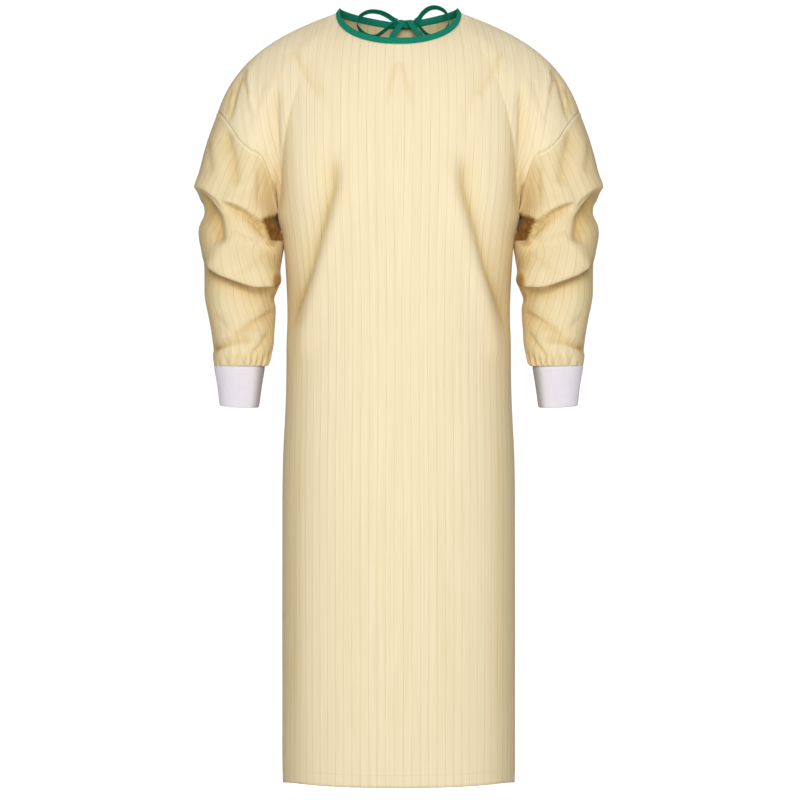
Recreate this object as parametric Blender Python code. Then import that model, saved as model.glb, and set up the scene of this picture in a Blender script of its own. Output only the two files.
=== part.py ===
"""Isolation gown: long-sleeved back-closing gown in pale yellow pinstriped cloth, with a green bound neck,
rib-knit cuffs and tapes. It keeps the hollow form it has when worn: every piece of cloth is a thin wall.

The origin lies midway between the two points where the neck edge crosses the shoulders, +Z is up and the
front faces -Y. The wearer's left is +X. Sizes in the tables are millimetres.
"""

import math
from collections import namedtuple

import bpy
import numpy as np

MM = 0.001

# Walls
CLOTH = 1.6
KNIT = 2.4
BINDING_OUT = 0.6
BINDING_IN = 2.2
TAPE = 1.2
SEAM_GAP = 0.3
SEAM_SHARE = 0.6

# Heights, below the shoulder point of the neck
ARMPIT_Z = -330.0
HEM_Z = -1228.0
HEM_SIDE_RISE = 9.0
HEM_RISE_WIDTH = 60.0

# Neck
NECK_HALF_WIDTH = 101.0
NECK_FRONT_DEPTH = 70.0
NECK_FRONT_DROP = 60.0
NECK_BACK_DEPTH = 60.0
NECK_BACK_DROP = 16.5
NECK_BACK_FALL = 1.2
NECK_POWER = 2.15
NECK_SHARE_AT_ARMPIT = 0.68
BINDING_WIDTH = 10.5
BINDING_UPRIGHT = 0.9

# Centre back: the wearer's right panel laps over the left one
OVERLAP = 55.0
NECK_EDGE_SHORT = 0.35
OVERLAP_STARTS = 60.0
OVERLAP_FULL = 230.0
KEYHOLE_HALF_WIDTH = 19.0
KEYHOLE_DROP = 94.0
KEYHOLE_HALF_HEIGHT = 29.0
LAP_LIFT_FULL = 60.0
LAP_LIFT = 2.9
LAP_FLAT = 64.0
LAP_ENDS = 115.0

# Mesh counts
SIDE_COLUMNS = 9
BACK_COLUMNS = 10
ARMHOLE_COLUMNS = 14
YOKE_ROWS = 11
BODY_ROWS = 11
CUFF_RIBS = 28
RIB_DEPTH = 0.5

# Cloth body below the armpits: half width, and depth of front and back, at each height
Section = namedtuple("Section", "z half_width front back")
BODY_POWER = 2.45
BODY = [
    Section(-330, 194, 122, 112),
    Section(-365, 186, 122, 112),
    Section(-400, 183, 122, 112),
    Section(-450, 181, 122, 112),
    Section(-590, 181, 124, 113),
    Section(-650, 183, 126, 116),
    Section(-700, 186, 128, 120),
    Section(-760, 187.5, 129, 122),
    Section(-1200, 188, 132, 125),
    Section(-1228, 187, 132, 125),
]

# Yoke: each column of cloth runs from the neck edge to the armpit level or the armhole as one cubic.
# place 0 is centre front or back, 1 the armpit, 2 the top of the shoulder. near and far are its two handles.
Column = namedtuple("Column", "place near far")
COLUMNS_BEFORE = [
    Column(0.0, (0, -102, -118), (0, -122, -225)),
    Column(0.5, (74, -96, -100), (124, -120, -215)),
    Column(1.0, (163, -74, -64), (192, -116, -230)),
    Column(1.5, (166, -56, -48), (224, -72, -138)),
    Column(2.0, (172, 0, -27), (260, 0, -60)),
]
COLUMNS_BEHIND = [
    Column(0.0, (0, 86, -70), (0, 110, -190)),
    Column(0.5, (82, 84, -62), (124, 110, -195)),
    Column(1.0, (163, 68, -48), (192, 104, -226)),
    Column(1.5, (166, 52, -40), (226, 66, -135)),
    Column(2.0, (172, 0, -27), (260, 0, -60)),
]

# Armhole seam of the wearer's left side, from the top of the shoulder to the armpit
SeamPoint = namedtuple("SeamPoint", "x y z")
ARMHOLE_FRONT = [
    SeamPoint(292, 0, -160),
    SeamPoint(283, -24, -169),
    SeamPoint(269, -43, -187),
    SeamPoint(256, -55, -208),
    SeamPoint(237, -61, -225),
    SeamPoint(219, -58, -234),
    SeamPoint(208, -46, -254),
    SeamPoint(198, -22, -292),
    SeamPoint(194, 0, -330),
]
ARMHOLE_BACK = [
    SeamPoint(292, 0, -160),
    SeamPoint(284, 24, -170),
    SeamPoint(272, 42, -188),
    SeamPoint(257, 54, -208),
    SeamPoint(238, 58, -224),
    SeamPoint(220, 55, -236),
    SeamPoint(208, 43, -258),
    SeamPoint(198, 21, -294),
    SeamPoint(194, 0, -330),
]

# Sleeve rings: outer and inner edge seen from the front, the middle's y, and the depth before and behind it
Ring = namedtuple("Ring", "outer inner middle front back")
SLEEVE = [
    Ring((292, -160), (194, -330), 0, 66, 64),
    Ring((309, -206), (201, -350), 0, 70, 68),
    Ring((321, -250), (198, -370), 0, 72, 70),
    Ring((327, -283), (194.5, -386), -2, 70, 71),
    Ring((318, -318), (192, -400), -4, 66, 72),
    Ring((323, -355), (191.5, -412), -8, 70, 72),
    Ring((316, -395), (192.5, -430), -12, 71, 68),
    Ring((313, -430), (195, -452), -16, 62, 62),
    Ring((311, -462), (197, -478), -20, 58, 57),
    Ring((303, -500), (198, -502), -25, 54, 53),
    Ring((297, -536), (202, -534), -30, 49, 48),
    Ring((297, -554), (209, -554), -33, 44, 43),
    Ring((295, -570), (214, -571), -36, 37, 37),
]
RING_STEPS = [0, 0.5, 1, 1.5, 2, 2.5, 3, 3.5, 4, 4.5, 5, 5.5, 6, 6.5, 7, 7.7, 8.5, 9.4, 10.2, 11, 12]
ARMHOLE_FADE = 3.2
RING_POWER = 2.15

# Cuff rings, from the seam down
CUFF = [
    Ring((295, -570), (214, -571), -36, 37, 37),
    Ring((289, -602), (219, -604), -41, 33, 33),
    Ring((285, -632), (223, -635), -46, 29, 29),
]

# Gathers where the sleeve is sewn to the cuff: every other column goes out, the rest in
GATHER_OUT = 2.6
GATHER_IN = -0.9
GATHER_HEIGHT = 26.0
SLEEVE_END_Z = -570.0
FOLDS_END_ABOVE_CUFF = 40.0

# Folds, drawn on the front view of the wearer's left half and mirrored.
# above and below are the half widths on the two sides of the path, depth is below zero for a trough.
Fold = namedtuple("Fold", "face depth above below path")
FOLDS = [
    Fold("front", -6, 15, 10, ((100, -240), (111, -300), (122, -352), (138, -424), (160, -520), (172, -590))),
    Fold("front", 4, 14, 14, ((78, -300), (92, -400), (112, -520), (128, -640))),
    Fold("front", -4, 10, 10, ((196, -95), (195, -200), (196, -300))),
    Fold("front", -3, 9, 7, ((172, -62), (157, -92), (140, -126), (126, -145))),
    Fold("front", -3, 6, 6, ((248, -86), (262, -122), (272, -168))),
    Fold("front", -9, 12, 26, ((322, -284), (308, -312), (290, -344), (276, -376))),
    Fold("front", 7, 18, 6, ((282, -302), (255, -316), (234, -330), (212, -346), (204, -364))),
    Fold("front", -6, 6, 14, ((276, -312), (250, -324), (230, -338), (211, -354), (203, -370))),
    Fold("front", 13, 34, 9, ((310, -396), (280, -420), (226, -440), (196, -436))),
    Fold("front", -7, 8, 20, ((306, -404), (278, -432), (228, -454), (198, -452))),
    Fold("front", -4, 9, 12, ((198, -486), (232, -506), (264, -524))),
    Fold("front", -5, 9, 10, ((300, -556), (278, -540), (254, -531), (234, -534))),
    Fold("front", -4, 10, 10, ((277, -196), (262, -238), (256, -272))),
    Fold("back", -5, 16, 12, ((104, -250), (118, -320), (134, -410), (158, -520))),
    Fold("back", 4, 15, 15, ((84, -320), (98, -430), (118, -560), (130, -680))),
    Fold("back", -4, 10, 10, ((194, -100), (194, -200), (195, -300))),
    Fold("back", -8, 12, 24, ((320, -300), (296, -330), (262, -352))),
    Fold("back", 7, 20, 8, ((312, -380), (276, -398), (226, -408), (200, -400))),
    Fold("back", -6, 10, 18, ((306, -410), (270, -428), (224, -432), (198, -426))),
    Fold("back", -4, 10, 12, ((300, -500), (262, -516), (214, -512))),
]
FOLD_END = 0.18

# Neck tapes, tied in a bow inside the back of the neck: routes through hand-placed points
TAPE_WIDTH = 9.0
KNOT_CENTRE = (12.5, 50.8, -8.6)
KNOT_SIZE = (28.0, 9.0, 13.5)
LOOP_LEFT = [
    (28, 50, -4.8), (33, 48.2, -1.2), (40, 43.5, 7.5), (50, 35.5, 13.5), (62, 27, 13.5), (74, 18, 6.5),
    (80.5, 9.5, -6), (80, 5, -19), (73, 3, -29), (62, 8, -35), (51, 16, -34.5), (42, 27, -27), (34, 39, -15.5),
    (31.5, 44.6, -10.6), (27.8, 46.8, -9.4),
]
LOOP_RIGHT = [
    (-2.5, 51.4, -4.6), (-8, 50.2, -2.8), (-18, 44.5, 3), (-31, 34, 7), (-47, 24, 6.5), (-60.5, 13, -1),
    (-67, 6, -11), (-65, 2, -23), (-54, 4, -34), (-39, 14, -36), (-26, 27, -26), (-15, 39, -15.5),
    (-6.7, 45.6, -10.4), (-2.4, 48, -9),
]
LOOP_ACROSS_KNOT = (0, 0.5, -0.85)
LOOP_ACROSS_FAR = (0, 0.8, -0.6)
LOOP_TWIST = 0.22
LOOP_STATIONS = 27
TAIL_LEFT = [
    (20, 45.2, -6), (21.5, 44.7, -12), (28, 43.4, -21), (37, 41.8, -32), (42, 41.5, -54), (43, 42, -80), (44, 44, -108),
]
TAIL_RIGHT = [
    (5, 45.2, -6), (3, 44.7, -12), (-4, 43.4, -21), (-11, 41.8, -32), (-15, 41.5, -54), (-16, 42, -84), (-17, 44, -116),
]
TAIL_ACROSS = (1, 0.1, 0)
TAIL_STATIONS = 12

# Waist tapes, sewn to the hidden back
WAIST_COLUMN = 5
WAIST_ROWS = (1, 8)
WAIST_TAPE_LIFT = 0.75

# Pieces of the welded net, and how nearly alike two pieces face where they share a flat seam
BODY_PIECES = ("front", "back_left", "back_right", "neck_binding")
SLEEVE_PIECES = ("sleeve_left", "sleeve_right")
FLAT_SEAM = (0.2, 0.7)

CLOTH_YELLOW = (0.88, 0.79, 0.55)
KNIT_WHITE = (0.80, 0.77, 0.80)
TAPE_GREEN = (0.004, 0.305, 0.165)


def clear_scene():
    """Starts from an empty file."""
    for obj in list(bpy.data.objects):
        bpy.data.objects.remove(obj, do_unlink=True)


def material(name, colour, roughness):
    """One plain finish."""
    mat = bpy.data.materials.new(name)
    mat.use_nodes = True
    shader = mat.node_tree.nodes["Principled BSDF"]
    shader.inputs["Base Color"].default_value = (*colour, 1)
    shader.inputs["Roughness"].default_value = roughness
    shader.inputs["Metallic"].default_value = 0
    return mat


def smooth_step(value, start, end):
    """0 before start, 1 after end, eased between."""
    t = np.clip((np.asarray(value, float) - start) / (end - start), 0, 1)
    return t * t * (3 - 2 * t)


def through(points, at):
    """Points at the given places on a smooth curve through evenly numbered points."""
    p = np.asarray(points, float)
    p = np.vstack([2 * p[0] - p[1], p, 2 * p[-1] - p[-2]])
    at = np.clip(np.asarray(at, float), 0, len(p) - 3)
    i = np.minimum(at.astype(int), len(p) - 4)
    t = (at - i)[:, None]
    a, b, c, d = p[i], p[i + 1], p[i + 2], p[i + 3]
    return 0.5 * (2 * b + (c - a) * t + (2 * a - 5 * b + 4 * c - d) * t**2 + (3 * b - a - 3 * c + d) * t**3)


def by_length(points, shares):
    """Points at the given shares of a dense curve's length."""
    p = np.asarray(points, float)
    run = np.concatenate([[0], np.cumsum(np.linalg.norm(np.diff(p, axis=0), axis=1))])
    want = np.asarray(shares, float) * run[-1]
    return np.stack([np.interp(want, run, p[:, k]) for k in range(p.shape[1])], axis=1)


def quarter(width, depth, drop, power):
    """Dense quarter curve from the centre (0, depth, drop) to the side (width, 0, 0)."""
    angle = np.linspace(0, math.pi / 2, 400)
    side = np.sin(angle) ** (2 / power)
    middle = np.cos(angle) ** (2 / power)
    return np.stack([width * side, depth * middle, drop * middle], axis=1)


def neck_edge(place, face):
    """Neck edge at each place, where the cloth meets the binding. Behind, it falls evenly to the knot."""
    depth = -NECK_FRONT_DEPTH if face == "front" else NECK_BACK_DEPTH
    drop = -NECK_FRONT_DROP if face == "front" else -NECK_BACK_DROP
    share = np.interp(place, [0, 1, 2], [0, NECK_SHARE_AT_ARMPIT, 1])
    edge = quarter(NECK_HALF_WIDTH, depth, drop, NECK_POWER)
    if face == "back":
        edge[:, 2] = drop * (1 - (edge[:, 0] / NECK_HALF_WIDTH) ** NECK_BACK_FALL)
    return by_length(edge, share)


def body_size(z, field):
    """One size of the body at each height, between the table's rows."""
    rows = sorted(BODY)
    return np.interp(z, [r.z for r in rows], [getattr(r, field) for r in rows])


def body_ring(place, z, face):
    """Points of the body at one height, at each place from the centre (0) to the side (1)."""
    depth = -body_size(z, "front") if face == "front" else body_size(z, "back")
    ring = by_length(quarter(body_size(z, "half_width"), depth, 0, BODY_POWER), place)
    ring[:, 2] = z
    return ring


def armhole(face):
    """Dense armhole seam from the armpit up to the top of the shoulder."""
    table = ARMHOLE_FRONT if face == "front" else ARMHOLE_BACK
    return through(table[::-1], np.linspace(0, len(table) - 1, 200))


def yoke_end(place, face):
    """Where each yoke column ends: the armpit level, then the armhole."""
    low = body_ring(np.clip(place, 0, 1), ARMPIT_Z, face)
    high = by_length(armhole(face), np.clip(place - 1, 0, 1))
    return np.where((place <= 1)[:, None], low, high)


def handles(place, face, which):
    """Near or far handle of each yoke column, smooth across the shoulder and mirrored at the centre."""
    here = COLUMNS_BEFORE if face == "front" else COLUMNS_BEHIND
    there = COLUMNS_BEHIND if face == "front" else COLUMNS_BEFORE
    own = [getattr(c, which) for c in here]
    mirrored = (-own[1][0], own[1][1], own[1][2])
    return through([mirrored, *own, getattr(there[-2], which)], 1 + place * 2)


def half_sheet(place, face):
    """Points of one half of the front or back, as rows from the neck down and columns at the given places."""
    side = np.where(place < 0, -1.0, 1.0)
    place = np.abs(place)
    neck, low = neck_edge(place, face), yoke_end(place, face)
    near, far = handles(place, face, "near"), handles(place, face, "far")
    rows = []
    for t in np.linspace(0, 1, YOKE_ROWS + 1):
        rows.append(neck * (1 - t) ** 3 + near * 3 * t * (1 - t) ** 2 + far * 3 * t * t * (1 - t) + low * t**3)
    for t in np.linspace(0, 1, BODY_ROWS + 1)[1:]:
        z = ARMPIT_Z + (HEM_Z - ARMPIT_Z) * t
        ring = body_ring(np.clip(place, 0, 1), z, face)
        near_side = np.exp(-((ring[:, 1] / HEM_RISE_WIDTH) ** 2))
        ring[:, 2] += HEM_SIDE_RISE * near_side * smooth_step(t, 0.85, 1)
        rows.append(ring)
    sheet = np.array(rows)
    sheet[:, :, 0] *= side
    return sheet


def front_places():
    """Column places of a front half, from the centre to the top of the shoulder."""
    low = np.linspace(0, 1, SIDE_COLUMNS + 1)
    return np.concatenate([low, 1 + np.linspace(0, 1, ARMHOLE_COLUMNS + 1)[1:]])


def back_half(laps_over):
    """Points of a back half, from its free edge past the centre to the top of the shoulder."""
    high = 1 + np.linspace(0, 1, ARMHOLE_COLUMNS + 1)[1:]
    fall = -NECK_BACK_DROP - half_sheet(np.array([0.0, 1.0]), "back")[:, 0, 2]
    reach = -NECK_EDGE_SHORT + (OVERLAP + NECK_EDGE_SHORT) * smooth_step(fall, OVERLAP_STARTS, OVERLAP_FULL)
    reach -= KEYHOLE_HALF_WIDTH * np.exp(-(((fall - KEYHOLE_DROP) / KEYHOLE_HALF_HEIGHT) ** 2))
    rows = []
    for row, past in enumerate(reach):
        trial = half_sheet(np.linspace(0, 1, 60), "back")[row]
        width = np.linalg.norm(np.diff(trial, axis=0), axis=1).sum()
        edge = -past / width
        places = np.concatenate([edge + (1 - edge) * np.linspace(0, 1, BACK_COLUMNS + 1), high])
        rows.append(half_sheet(places, "back")[row])
    sheet = np.array(rows)
    if laps_over:
        raised = LAP_LIFT * smooth_step(fall, 0, LAP_LIFT_FULL)
        sheet[:, :, 1] += raised[:, None] * (1 - smooth_step(sheet[:, :, 0], LAP_FLAT, LAP_ENDS))
    return sheet


def ring_points(ring, angle):
    """Points of one sleeve or cuff ring: angle 0 is its outer edge, pi its inner edge, to pi the front."""
    outer = np.array([ring[0], 0, ring[1]])
    inner = np.array([ring[2], 0, ring[3]])
    middle, half = (outer + inner) / 2, (outer - inner) / 2
    across = np.cos(angle)
    through_depth = np.sin(angle)
    shape = np.sign(across) * np.abs(across) ** (2 / RING_POWER)
    bulge = np.abs(through_depth) ** (2 / RING_POWER)
    y = ring[4] + np.where(through_depth >= 0, -ring[5] * bulge, ring[6] * bulge)
    points = middle + half * shape[:, None]
    points[:, 1] = y
    return points


def ring_rows(table, at):
    """Ring sizes at the given places between the table's rows."""
    rows = [(*r.outer, *r.inner, r.middle, r.front, r.back) for r in table]
    return through(rows, at)


def sleeve_sheet():
    """Points of the wearer's left sleeve, from the armhole down, round from the top by the front."""
    angle = np.linspace(0, 2 * math.pi, 2 * ARMHOLE_COLUMNS + 1)[:-1]
    shares = np.linspace(0, 1, ARMHOLE_COLUMNS + 1)
    front = by_length(armhole("front"), shares)[::-1]
    back = by_length(armhole("back"), shares)
    seam = np.vstack([front[:-1], back[:-1]])
    rings = ring_rows(SLEEVE, RING_STEPS)
    shift = seam - ring_points(rings[0], angle)
    sheet = []
    for step, ring in zip(RING_STEPS, rings):
        points = ring_points(ring, angle) + shift * (1 - smooth_step(step, 0, ARMHOLE_FADE))
        sheet.append(points)
    return np.array(sheet)


def fold_depth(points, normals):
    """How far the folds move each point along its normal."""
    flat = np.stack([np.abs(points[:, 0]), points[:, 2]], axis=1)
    total = np.zeros(len(points))
    for fold in FOLDS:
        facing = np.clip(normals[:, 1] * (-1.8 if fold.face == "front" else 1.8), 0, 1)
        path = np.array(fold.path, float)
        lengths = np.linalg.norm(np.diff(path, axis=0), axis=1)
        starts = np.concatenate([[0], np.cumsum(lengths)])
        best = np.full(len(points), 1e9)
        side = np.zeros(len(points))
        along = np.zeros(len(points))
        for i, length in enumerate(lengths):
            step = (path[i + 1] - path[i]) / length
            rel = flat - path[i]
            run = np.clip(rel @ step, 0, length)
            off = rel - run[:, None] * step
            far = np.linalg.norm(off, axis=1)
            nearer = far < best
            best = np.where(nearer, far, best)
            side = np.where(nearer, off[:, 1] - off[:, 0] * 0.2, side)
            along = np.where(nearer, (starts[i] + run) / starts[-1], along)
        width = np.where(side > 0, fold.above, fold.below)
        ends = smooth_step(along, 0, FOLD_END) * (1 - smooth_step(along, 1 - FOLD_END, 1))
        total += fold.depth * np.exp(-((best / width) ** 2)) * ends * facing
    return total


class Cloth:
    """All cloth of the gown as one welded net, from which each piece is taken."""

    def __init__(self):
        self.points = []
        self.found = {}
        self.faces = {}

    def vertex(self, point):
        """Index of a point, the same for points at the same place."""
        key = tuple(np.round(point, 2) + 0.0)
        if key not in self.found:
            self.found[key] = len(self.points)
            self.points.append(np.asarray(point, float))
        return self.found[key]

    def indices(self, sheet):
        """Indices of a grid of points."""
        return np.array([[self.vertex(p) for p in row] for row in sheet])

    def add(self, piece, sheet, closed=False, flip=False):
        """Adds a grid of points to a piece, leaving out faces without area."""
        index = self.indices(sheet)
        if closed:
            index = np.hstack([index, index[:, :1]])
        for r in range(index.shape[0] - 1):
            for c in range(index.shape[1] - 1):
                face = [index[r, c], index[r + 1, c], index[r + 1, c + 1], index[r, c + 1]]
                face = list(dict.fromkeys(face))
                if len(face) > 2:
                    self.faces.setdefault(piece, []).append(face[::-1] if flip else face)

    def facing(self, pieces):
        """Mean outward direction of the named pieces at every point, zero where they have none."""
        p = np.array(self.points)
        total = np.zeros_like(p)
        for piece in pieces:
            for face in self.faces[piece]:
                corners = p[face]
                total[face] += np.cross(corners[2] - corners[0], corners[-1] - corners[1])
        return unit(total)

    def normals(self):
        """Outward direction at every point, for the body and for the sleeves.

        Along a flat seam both share one direction, so that their rims lie side by side. Under the arm
        the cloth turns back on itself, and there each keeps its own.
        """
        body, sleeves = self.facing(BODY_PIECES), self.facing(SLEEVE_PIECES)
        shared = unit(body + sleeves)
        flat = smooth_step(np.sum(body * sleeves, axis=1), *FLAT_SEAM)[:, None]
        seam = (np.any(body, axis=1) & np.any(sleeves, axis=1))[:, None]
        own = []
        for direction in (body, sleeves):
            own.append(np.where(seam, unit(shared * flat + direction * (1 - flat)), direction))
        return {"body": own[0], "sleeve": own[1], "all": shared}


def unit(vectors):
    """Vectors of length 1, or zero where they were zero."""
    length = np.linalg.norm(vectors, axis=1)[:, None]
    return vectors / np.maximum(length, 1e-9)


def rim_edges(faces):
    """Edges with a face on one side only, each with that face."""
    owner = {}
    for face in faces:
        for a, b in zip(face, face[1:] + face[:1]):
            owner[(a, b)] = face
    return {edge: face for edge, face in owner.items() if (edge[1], edge[0]) not in owner}


def inward_ways(points, faces):
    """For each rim point of a piece, the direction from the rim into the piece."""
    ways = {}
    for (a, b), face in rim_edges(faces).items():
        edge = points[b] - points[a]
        toward = points[face].mean(axis=0) - points[a]
        toward = toward - edge * (toward @ edge) / (edge @ edge)
        for v in (a, b):
            ways[v] = ways.get(v, 0) + toward / np.linalg.norm(toward)
    return {v: way / np.linalg.norm(way) for v, way in ways.items()}


def seam_shifts(cloth):
    """For each piece, how its seam points move away from the pieces that they meet, half a gap each."""
    points = np.array(cloth.points)
    ways = {piece: inward_ways(points, faces) for piece, faces in cloth.faces.items()}
    shifts = {}
    for piece, own in ways.items():
        move = np.zeros_like(points)
        for v, way in own.items():
            others = [other[v] for name, other in ways.items() if name != piece and v in other]
            if others:
                away = way - np.mean(others, axis=0)
                move[v] = away / np.linalg.norm(away) * SEAM_GAP * SEAM_SHARE
        shifts[piece] = move
    return shifts


def split_faces(faces, points):
    """Triangles of a piece, each four-sided face cut along its shorter diagonal."""
    triangles = []
    for face in faces:
        if len(face) == 3:
            triangles.append(face)
            continue
        a, b, c, d = face
        if np.linalg.norm(points[a] - points[c]) <= np.linalg.norm(points[b] - points[d]):
            triangles += [[a, b, c], [a, c, d]]
        else:
            triangles += [[a, b, d], [b, c, d]]
    return triangles


def wall(cloth, name, mat, directions, shift, out=0.0, thickness=CLOTH):
    """Closes a piece of the net as a wall of even thickness and makes its object."""
    points = np.array(cloth.points)
    faces = cloth.faces[name]
    used = sorted({v for face in faces for v in face})
    row = {v: i for i, v in enumerate(used)}
    outer = points + shift + directions * out
    inner = points + shift - directions * thickness
    count = len(used)
    mesh_faces = []
    for face in split_faces(faces, points):
        mesh_faces.append([row[v] for v in face])
        mesh_faces.append([row[v] + count for v in reversed(face)])
    for a, b in rim_edges(faces):
        mesh_faces.append([row[b], row[a], row[a] + count, row[b] + count])
    return make_object(name, np.vstack([outer[used], inner[used]]), mesh_faces, mat)


def make_object(name, points, faces, mat):
    """One named solid from points in millimetres."""
    mesh = bpy.data.meshes.new(name)
    mesh.from_pydata([tuple(float(v) * MM for v in p) for p in points], [], faces)
    mesh.validate()
    mesh.update()
    mesh.shade_smooth()
    mesh.set_sharp_from_angle(angle=math.radians(50))
    mesh.materials.append(mat)
    obj = bpy.data.objects.new(name, mesh)
    bpy.context.scene.collection.objects.link(obj)
    return obj


def add_front(cloth):
    """Front panel: both halves meet at the centre without a seam."""
    places = front_places()
    sheet = half_sheet(places, "front")
    for sign in (1, -1):
        half = sheet * np.array([sign, 1, 1])
        add_half(cloth, "front", half, SIDE_COLUMNS, flip=sign < 0)


def add_half(cloth, piece, half, armpit_column, flip):
    """Adds the yoke rows of a half in full, and its body rows as far as the side seam."""
    cloth.add(piece, half[: YOKE_ROWS + 1], flip=flip)
    cloth.add(piece, half[YOKE_ROWS:, : armpit_column + 1], flip=flip)


def add_backs(cloth):
    """Back panels: the wearer's right one laps over the left one."""
    left = back_half(laps_over=False)
    right = back_half(laps_over=True) * np.array([-1, 1, 1])
    add_half(cloth, "back_left", left, BACK_COLUMNS, flip=True)
    add_half(cloth, "back_right", right, BACK_COLUMNS, flip=False)
    return {"left": left, "right": right}


def add_sleeves(cloth):
    """Sleeves, each a tube of rings. Returns the rings' indices."""
    rings = []
    for name, sign in zip(SLEEVE_PIECES, (1, -1)):
        sheet = sleeve_sheet() * np.array([sign, 1, 1])
        cloth.add(name, sheet, closed=True, flip=sign > 0)
        rings.append(cloth.indices(sheet))
    return rings


def add_binding(cloth, halves):
    """Neck binding: a band that stands on the neck edge, from one free edge of the back round to the other."""
    front = half_sheet(front_places(), "front")
    front_right = front * np.array([-1, 1, 1])
    rows = []
    for row in (0, 1):
        parts = [halves["right"][row], front_right[row][::-1][1:], front[row][1:], halves["left"][row][::-1][1:]]
        rows.append(np.vstack(parts))
    edge, lower = rows
    rise = unit(unit(edge - lower) + np.array([0, 0, BINDING_UPRIGHT]))
    cloth.add("neck_binding", np.array([edge, edge + rise * BINDING_WIDTH]), flip=True)


def fold_and_gather(cloth, rings):
    """Moves the net's points into the folds and into the gathers at the cuffs."""
    points, normals = np.array(cloth.points), cloth.normals()["all"]
    depth = fold_depth(points, normals)
    depth *= smooth_step(points[:, 2], SLEEVE_END_Z, SLEEVE_END_Z + FOLDS_END_ABOVE_CUFF)
    for sleeve in rings:
        for ring in sleeve[-4:-1]:
            height = points[ring, 2] - SLEEVE_END_Z
            wave = np.where(np.arange(len(ring)) % 2, GATHER_OUT, GATHER_IN)
            depth[ring] += wave * (1 - smooth_step(height, 4, GATHER_HEIGHT))
    cloth.points = list(points + normals * depth[:, None])


def make_cuffs(mat):
    """Rib-knit cuffs: raised ribs outside, plain inside, open at both ends."""
    columns = CUFF_RIBS * 2
    angle = np.linspace(0, 2 * math.pi, columns + 1)[:-1]
    for name, sign in (("cuff_left", 1), ("cuff_right", -1)):
        outer, inner = [], []
        for row, ring in enumerate(ring_rows(CUFF, range(len(CUFF)))):
            points = ring_points(ring, angle)
            centre = points.mean(axis=0)
            away = unit((points - centre) * np.array([1, 1, 0]))
            drop = np.array([0, 0, -SEAM_GAP if row == 0 else 0])
            rib = RIB_DEPTH * (np.arange(columns) % 2)
            outer.append(points + away * rib[:, None] + drop)
            inner.append(points - away * KNIT + drop)
        make_tube(name, np.array(outer), np.array(inner), sign, mat)


def make_tube(name, outer, inner, sign, mat):
    """A hollow wall between two nets of rings."""
    rows, columns = outer.shape[:2]
    mirror = np.array([sign, 1, 1])
    points = np.vstack([outer.reshape(-1, 3), inner.reshape(-1, 3)]) * mirror
    half = rows * columns
    faces = []
    for c in range(columns):
        d = (c + 1) % columns
        for r in range(rows - 1):
            a, b = r * columns, (r + 1) * columns
            faces.append([a + c, b + c, b + d, a + d])
            faces.append([half + a + d, half + b + d, half + b + c, half + a + c])
        last = (rows - 1) * columns
        faces.append([c, d, half + d, half + c])
        faces.append([last + d, last + c, half + last + c, half + last + d])
    if sign > 0:
        faces = [face[::-1] for face in faces]
    make_object(name, points, faces, mat)


def tape(name, route, across, mat):
    """A flat tape along a route, its width in the given direction at each station."""
    along = unit(np.gradient(route, axis=0))
    wide = unit(across - along * np.sum(across * along, axis=1)[:, None])
    deep = np.cross(along, wide) * (TAPE / 2)
    wide = wide * (TAPE_WIDTH / 2)
    rings = np.stack([route - wide - deep, route + wide - deep, route + wide + deep, route - wide + deep], axis=1)
    faces = [[3, 2, 1, 0]]
    for r in range(len(route) - 1):
        for c in range(4):
            d = (c + 1) % 4
            faces.append([r * 4 + c, r * 4 + d, (r + 1) * 4 + d, (r + 1) * 4 + c])
    last = (len(route) - 1) * 4
    faces.append([last, last + 1, last + 2, last + 3])
    return make_object(name, rings.reshape(-1, 3), faces, mat)


def make_bow(mat):
    """Neck bow: a wrapped knot, two loops that fall into the neck, and two tails."""
    for name, points in (("neck_loop_left", LOOP_LEFT), ("neck_loop_right", LOOP_RIGHT)):
        route = through(points, np.linspace(0, len(points) - 1, LOOP_STATIONS))
        share = np.linspace(0, 1, LOOP_STATIONS)
        twist = smooth_step(share, 0, LOOP_TWIST) * (1 - smooth_step(share, 1 - LOOP_TWIST, 1))
        across = np.outer(1 - twist, LOOP_ACROSS_KNOT) + np.outer(twist, LOOP_ACROSS_FAR)
        tape(name, route, across, mat)
    for name, points in (("neck_tail_left", TAIL_LEFT), ("neck_tail_right", TAIL_RIGHT)):
        route = through(points, np.linspace(0, len(points) - 1, TAIL_STATIONS))
        tape(name, route, np.tile(TAIL_ACROSS, (TAIL_STATIONS, 1)), mat)
    make_knot(mat)


def make_knot(mat):
    """The knot: a short wrapped roll with rounded ends."""
    stations = [(-1.0, 0.72), (-0.8, 0.93), (-0.3, 1.0), (0.3, 1.0), (0.8, 0.93), (1.0, 0.72)]
    sides = 10
    centre = np.array(KNOT_CENTRE)
    points = []
    for place, girth in stations:
        for k in range(sides):
            turn = 2 * math.pi * k / sides
            size = (KNOT_SIZE[1] / 2 * girth, KNOT_SIZE[2] / 2 * girth)
            offset = (place * KNOT_SIZE[0] / 2, size[0] * math.cos(turn), size[1] * math.sin(turn))
            points.append(centre + np.array(offset))
    faces = [list(range(sides))[::-1], [len(points) - sides + k for k in range(sides)]]
    for r in range(len(stations) - 1):
        for k in range(sides):
            n = (k + 1) % sides
            faces.append([r * sides + k, r * sides + n, (r + 1) * sides + n, (r + 1) * sides + k])
    make_object("neck_knot", points, faces, mat)


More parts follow.
